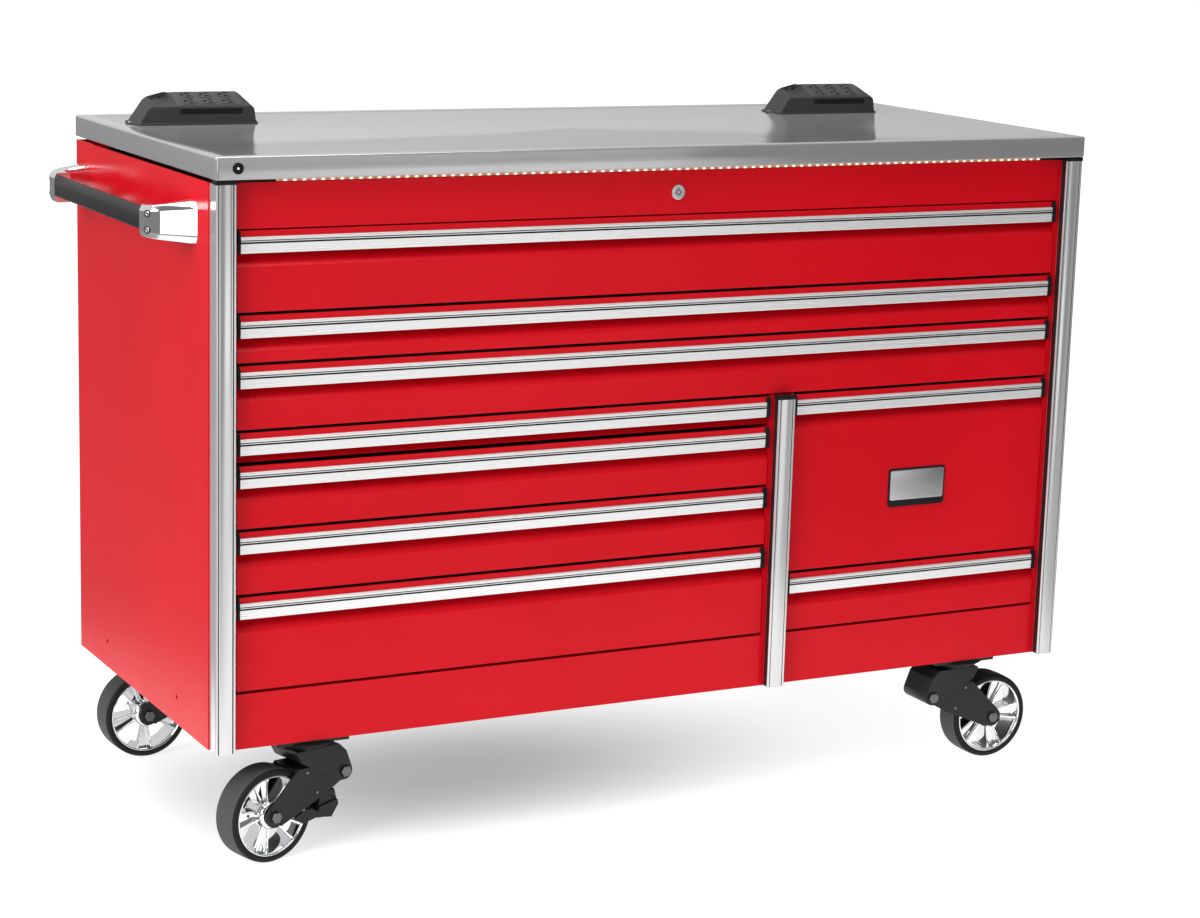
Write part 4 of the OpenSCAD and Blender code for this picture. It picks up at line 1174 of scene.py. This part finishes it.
@dataclass
class Wheel:
    """A moulded tyre on a polished twin-spoke rim."""

    corner: Corner
    radius: float = 83.3
    half: float = 27.5
    tyre: float = 12.0
    trail: float = 82.0
    spokes: int = 5
    gap: float = 5.5
    fan: float = 9.0
    hub: float = 24.0
    root: float = 19.0
    shoulder: float = 7.0
    inset: float = 7.4
    steps: int = 128

    def __post_init__(self) -> None:
        """Works out the wheel's centre, axle and seat from its caster's turn."""
        self.name, x, y, _, self.first = self.corner.value
        self.axis = np.cross(UP, self.corner.ahead)
        self.centre = np.array([x, y, self.radius]) - self.trail * self.corner.ahead
        self.seat = self.radius - self.tyre

    def turned(self, profile: np.ndarray, steps: int) -> Shell:
        """A loop of (radius, place along the axle) turned round the axle."""
        return lathe(profile, self.centre, self.axis, steps, closed=True)

    def tyre_profile(self) -> np.ndarray:
        """Half section of the tyre: flat wall with a step, round shoulder, slightly crowned tread.

        Returns:
            The loop of (radius, place along the axle).
        """
        r, h, seat = self.radius, self.half, self.seat
        wall = [(seat + 0.2, h - 2.6), (seat + 0.6, h - 0.9), (seat + 1.4, h - 0.3), (seat + 2.6, h)]
        shoulder = arc(r - self.inset, h - self.shoulder, self.shoulder, 84, 4, 11)
        tread = [(r - 0.16, h - 12.0), (r - 0.03, h - 20.0), (r, 0.0)]
        return mirrored(np.concatenate([wall, shoulder, tread]))

    def wall_profile(self) -> np.ndarray:
        """Section of the smooth darker skin over a tyre's wall and shoulder, painted shade for the sides that
        face away from the light: two offsets of the same line.
        """
        seat, h = self.seat, self.half
        x, z = self.radius - self.inset, h - self.shoulder
        outside = [(seat + 0.5, h - 0.7), (seat + 1.4, h + 0.0), (seat + 2.6, h + 0.25)]
        inside = [(seat + 2.6, h - 0.6), (seat + 1.2, h - 1.4)]
        return np.concatenate([outside, arc(x, z, 7.25, 84, 24, 9), arc(x, z, 6.4, 24, 84, 9), inside])

    def rim_profile(self) -> np.ndarray:
        """Section of the rim's barrel: rolled lips and a dished drop inside, a plain side under the tyre."""
        seat, h = self.seat, self.half
        inner = [(seat + 0.5, h - 2.8), (seat - 0.2, h - 1.2), (seat - 1.4, h - 0.8), (seat - 2.6, h - 1.4),
                 (seat - 3.4, h - 3.0), (seat - 3.8, h - 7.0), (seat - 4.4, h - 14.0), (seat - 4.4, 0.0)]
        return np.concatenate([mirrored(np.array(inner)), [(seat + 0.9, 3.2 - h), (seat + 0.9, h - 3.2)]])

    def radial(self, angle: float, r: np.ndarray, aside: np.ndarray, size: Sequence[np.ndarray],
               unit: np.ndarray) -> Shell:
        """A bar from hub to rim: a unit section carried outwards, stretched and shifted on the way.

        Args:
            angle: direction of the bar in radians.
            r: places along it.
            aside: its shift across at each place.
            size: its half width and half depth at each place.
            unit: the section, from -1 to 1 both ways.

        Returns:
            The closed shell.
        """
        ahead = self.corner.ahead
        out = math.cos(angle) * ahead + math.sin(angle) * UP
        cross = math.cos(angle) * UP - math.sin(angle) * ahead
        origins = self.centre + r[:, None] * out + aside[:, None] * cross
        return sweep(unit[None] * np.stack(size, axis=-1)[:, None], origins, cross, self.axis)

    def blade(self, angle: float, side: float) -> Shell:
        """One spoke: a tapered blade that flares where it meets the hub and the rim.

        Width is a waist plus two bumps at the ends; depth grows smoothly from the middle to the rim.

        Args:
            angle: direction of the pair in radians.
            side: which spoke of the pair, -1 or 1.

        Returns:
            The closed shell.
        """
        t = np.linspace(0, 1, 25)
        r = self.root + t * (self.seat - 4.0 - self.root)
        width = 4.6 + 3.4 * t**6 + 2.0 * (1 - t) ** 4
        deep = 17.5 + 4.5 * t**2 - 1.5 * np.sin(math.pi * t)
        aside = side * (self.gap + self.fan * t)
        return self.radial(angle, r, aside, (width / 2, deep), rounded_rect(2, 2, 0.5, 5))

    def web(self, angle: float) -> Shell:
        """The recessed web between a pair of blades, widening towards the rim."""
        t = np.linspace(0, 1, 9)
        r = self.root + t * (self.seat - 4.2 - self.root)
        size = self.gap + self.fan * t, 8.0 + 2 * t
        return self.radial(angle, r, np.zeros_like(t), size, rounded_rect(2, 2, 0.2, 3))

    def build(self) -> None:
        """Builds the tyre, the darker skins of painted shade over its walls, and the rim: barrel, spokes,
        webs and hub.
        """
        node, body = f"wheel_{self.name}", f"wheel_body_{self.name}"
        tyre = self.turned(self.tyre_profile(), self.steps)
        put(f"tyre_{self.name}", tyre, "wheel_rubber", body, replaces=[node], sharp=50)
        # darker skins over walls and shoulders: painted shade, the tread keeps the tyre's own grey
        walls = [self.turned(self.wall_profile() * (1, side), self.steps) for side in (-1, 1)]
        put(f"tyre_wall_shade_{self.name}", join(walls), "painted_shade_rubber", body, sharp=50)
        angles = math.radians(self.first) + np.arange(self.spokes) * 2 * math.pi / self.spokes
        edge = self.hub
        hub = [(10.4, 26.5), (15.0, 26.8), (18.0, 26.2), (edge - 2, 24.6), (edge, 22.4), (edge, 0)]
        shells = [self.turned(self.rim_profile(), self.steps)]
        shells += [self.blade(angle, side) for angle in angles for side in (-1, 1)]
        shells += [self.web(angle) for angle in angles]
        shells.append(self.turned(mirrored(np.array(hub)), 64))
        put(f"rim_{self.name}", join(shells), "chrome", body, replaces=[node], sharp=45)


@dataclass
class CasterBolts:
    """Plated heads over the pivot and axle bolts of one caster, and the arm's rivets.

    A seat is a place along the caster, its height, and how far out from the middle it lies.
    """

    corner: Corner
    fork: str
    head: float = 10.6
    high: float = 5.4
    rivets: tuple[tuple[float, float], ...] = ((-15.3, 149.6), (6.0, 110.3))
    seats: tuple[tuple[float, float, float], ...] = ((63.0, 139.3, 39.5), (-82.0, 83.3, 35.0))

    def build(self) -> None:
        """Sets heads on both sides: the pivot's hexagon on the fork, the axle's and the rivets on the arm."""
        name, x, y = self.corner.value[:3]
        ahead = self.corner.ahead
        k = np.arange(6) * math.pi / 3
        hexagon = self.head * np.stack([np.cos(k), np.sin(k)], axis=-1)
        disc = rounded_rect(5.6, 5.6, 2.79, 6)
        for (along, high, out), body, kind in zip(self.seats, (self.fork, f"arm_{name}"), ("pivot", "axle")):
            shells = []
            for side in (-1.0, 1.0):
                u = -side * ahead
                place = np.array([x, y, high]) + along * ahead + out * np.cross(u, UP)
                shells.append(slab(hexagon, place, u, UP, 0.1, self.high, 0.9))
                if kind == "axle":
                    shells += [slab(disc, place + (r - along) * ahead + (z - high) * UP, u, UP, 0.1, 0.7, 0.2)
                               for r, z in self.rivets]
            put(f"{kind}_heads_{name}", join(shells), "bolt_steel", body, sharp=25)


@dataclass
class SwitchLamp:
    """The small lamp in the middle of the light switch."""

    x: float = -786.0
    front: float = -375.75
    z: float = 1198.6
    radius: float = 1.6

    def build(self) -> None:
        """A shallow dome on the button's face."""
        profile = np.array([(self.radius, 0.0), (self.radius, 0.15), (self.radius * 0.7, 0.35), (0.4, 0.42)])
        dome = lathe(profile, (self.x, self.front + 0.42, self.z), -BACK, 20)
        put("switch_lamp", dome, "lamp_dot", "light_button_body")


@dataclass(frozen=True)
class Band:
    """A soft step across the floor along one slanted direction, in metres, that bounds a painted dark patch.
    """

    x: float
    y: float
    start: float
    stop: float

    def mask(self, s: Shop) -> Sock:
        """0 before the start and 1 past the stop of x times its share plus y times its share."""
        along = s.part(Axis.X) * self.x + s.part(Axis.Y) * self.y
        return s.ramp(along, self.start, self.stop, "SMOOTHSTEP")


@dataclass
class Studio:
    """Camera at the photograph's angle, pale floor with a painted shadow and painted dark patches, and soft
    lights.
    """

    place: tuple[float, float, float] = (-2.40615, -4.73317, 1.70685)
    yaw: float = 27.7669
    pitch: float = 11.8751
    roll: float = -1.6515
    lens: float = 85.861
    lights: tuple[tuple[str, Colour, float, float], ...] = (
        ("key", (-5.3, -2.4, 2.9), 3.0, 220.0), ("top", (-1.0, -0.7, 4.2), 4.0, 150.0),
        ("front", (1.2, -4.6, 0.9), 2.2, 6.0), ("side", (-3.4, -6.0, 0.9), 1.8, 22.0))
    aim: Colour = (0.0, 0.0, 0.7)
    reach: float = 40.0
    # bounds of the floor's painted dark patches
    left_wing: Band = Band(1.0, -0.287, -1.6, -1.08)
    right_wing: Band = Band(1.0, -0.827, 1.8, 3.2)
    seen: Band = Band(0.528, 1.0, -2.2, -1.3)
    behind: Band = Band(0.0, 1.0, -8.6, -6.0)
    bright_side: Band = Band(1.0, 0.366, -2.4, -0.9)
    front_side: Band = Band(1.0, 0.575, -0.4, 0.8)

    def camera(self) -> None:
        """Builds the camera from yaw, pitch and roll about its own line of sight."""
        y, p, r = (math.radians(v) for v in (self.yaw, self.pitch, self.roll))
        forward = np.array([math.sin(y) * math.cos(p), math.cos(y) * math.cos(p), -math.sin(p)])
        right = np.array([math.cos(y), -math.sin(y), 0.0])
        down = np.cross(forward, right)
        across = math.cos(r) * right + math.sin(r) * down
        below = -math.sin(r) * right + math.cos(r) * down
        turn = np.stack([across, -below, -forward], axis=1)
        data = bpy.data.cameras.new("camera")
        data.lens, data.sensor_width, data.sensor_fit = self.lens, 36.0, "HORIZONTAL"
        data.clip_start, data.clip_end = 0.1, 200.0
        camera = bpy.data.objects.new("camera", data)
        camera.matrix_world = Matrix.Translation(self.place) @ Matrix(turn.tolist()).to_4x4()
        bpy.context.scene.collection.objects.link(camera)
        bpy.context.scene.camera = camera

    def floor(self) -> None:
        """A wide pale floor with a faint mottle; its glow is turned down under the cabinet as a painted
        shadow, and outside the picture it has painted dark patches that darken what the cabinet's paint and
        metal reflect.
        """
        s = Shop(bpy.data.materials.new("studio_floor"))
        cloud = s.noise(0.8, 3.0)
        # dark patches painted into the floor's colour and glow out of the camera's view, to darken what the
        # cabinet reflects
        left_wing, seen = self.left_wing.mask(s), self.seen.mask(s)
        pale = s.blend(seen, grey(0.12), s.blend(cloud, grey(0.36), grey(0.4)))
        s.set("Base Color", s.blend(left_wing, grey(0.14), pale))
        s.set("Roughness", 0.6 + cloud * 0.1)
        s.set("Specular IOR Level", 0.1)
        # painted shadow: the floor's glow drops to 0.42 under and round the cabinet
        away = ((s.part(Axis.X) + 0.25) ** 2.0 * 0.34 + s.part(Axis.Y) ** 2.0) ** 0.5
        near = s.blend(s.ramp(away, 0.05, 0.55, "SMOOTHSTEP"), grey(0.42), grey(1.0))
        right = s.blend(self.right_wing.mask(s), near, grey(0.15))
        far = s.blend(self.behind.mask(s), grey(0.15), grey(0.95))
        front = s.blend(self.front_side.mask(s), far, grey(0.1))
        front = s.blend(self.bright_side.mask(s), grey(0.05), front)
        s.set("Emission Color", s.blend(left_wing, grey(0.16), s.blend(seen, front, right)))
        s.set("Emission Strength", 0.9)
        mesh = bpy.data.meshes.new("floor")
        corners = self.reach * np.array([(-1, -1, 0), (1, -1, 0), (1, 1, 0), (-1, 1, 0)])
        mesh.from_pydata(corners.tolist(), [], [(0, 1, 2, 3)])
        mesh.materials.append(s.owner)
        floor = bpy.data.objects.new("floor", mesh)
        bpy.context.scene.collection.objects.link(floor)

    def light(self) -> None:
        """A surround that is dimmer behind the camera, and large softboxes aimed at the cabinet."""
        s = Shop(bpy.data.worlds.new("surround"), "ShaderNodeBackground", "ShaderNodeOutputWorld")
        back = s.blend(s.ramp(s.part(Axis.X), 0.35, 0.6), grey(0.7), grey(0.5))
        s.set("Color", s.blend(s.ramp(s.part(Axis.Y), -0.6, 0.1), grey(0.2), back))
        s.set("Strength", 1.0)
        bpy.context.scene.world = s.owner
        for name, place, size, power in self.lights:
            data = bpy.data.lights.new(name, "AREA")
            data.shape, data.size, data.energy = "SQUARE", size, power
            lamp = bpy.data.objects.new(name, data)
            lamp.location, lamp.rotation_mode = place, "QUATERNION"
            lamp.rotation_quaternion = (Vector(self.aim) - Vector(place)).to_track_quat("-Z", "Y")
            bpy.context.scene.collection.objects.link(lamp)
        bpy.context.scene.view_settings.view_transform = "Standard"

    def build(self) -> None:
        """Sets up the whole studio."""
        self.camera()
        self.floor()
        self.light()


FORK_BODIES: tuple[str, ...] = ("swivel_fork_front_body", "swivel_fork_rear_body", "cabinet", "cabinet")
FRONT_TOPS: dict[int, tuple[float, Bank]] = {
    1: (1094.3, Bank.WIDE), 2: (953.8, Bank.WIDE), 3: (869.5, Bank.WIDE),
    4: (757.1, Bank.LEFT), 5: (700.9, Bank.LEFT), 6: (588.5, Bank.LEFT), 7: (476.1, Bank.LEFT),
    8: (757.1, Bank.RIGHT), 9: (419.9, Bank.RIGHT),
}


def main() -> None:
    """Builds the studio and every sub-assembly in order."""
    logging.basicConfig(level=logging.INFO, format="%(message)s")
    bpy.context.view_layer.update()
    parts = [Studio(), Worktop(), TrimPosts(), PushHandle(), BadgePlate(), SwitchLamp(),
             PowerStrip("left", -776.5), PowerStrip("right", 550.5)]
    parts += [DrawerPull(number, top, bank) for number, (top, bank) in FRONT_TOPS.items()]
    parts += [Wheel(corner) for corner in Corner]
    parts += [CasterBolts(corner, fork) for corner, fork in zip(Corner, FORK_BODIES)]
    for part in parts:
        part.build()
    Carcass().dress()


if __name__ == "__main__":
    main()
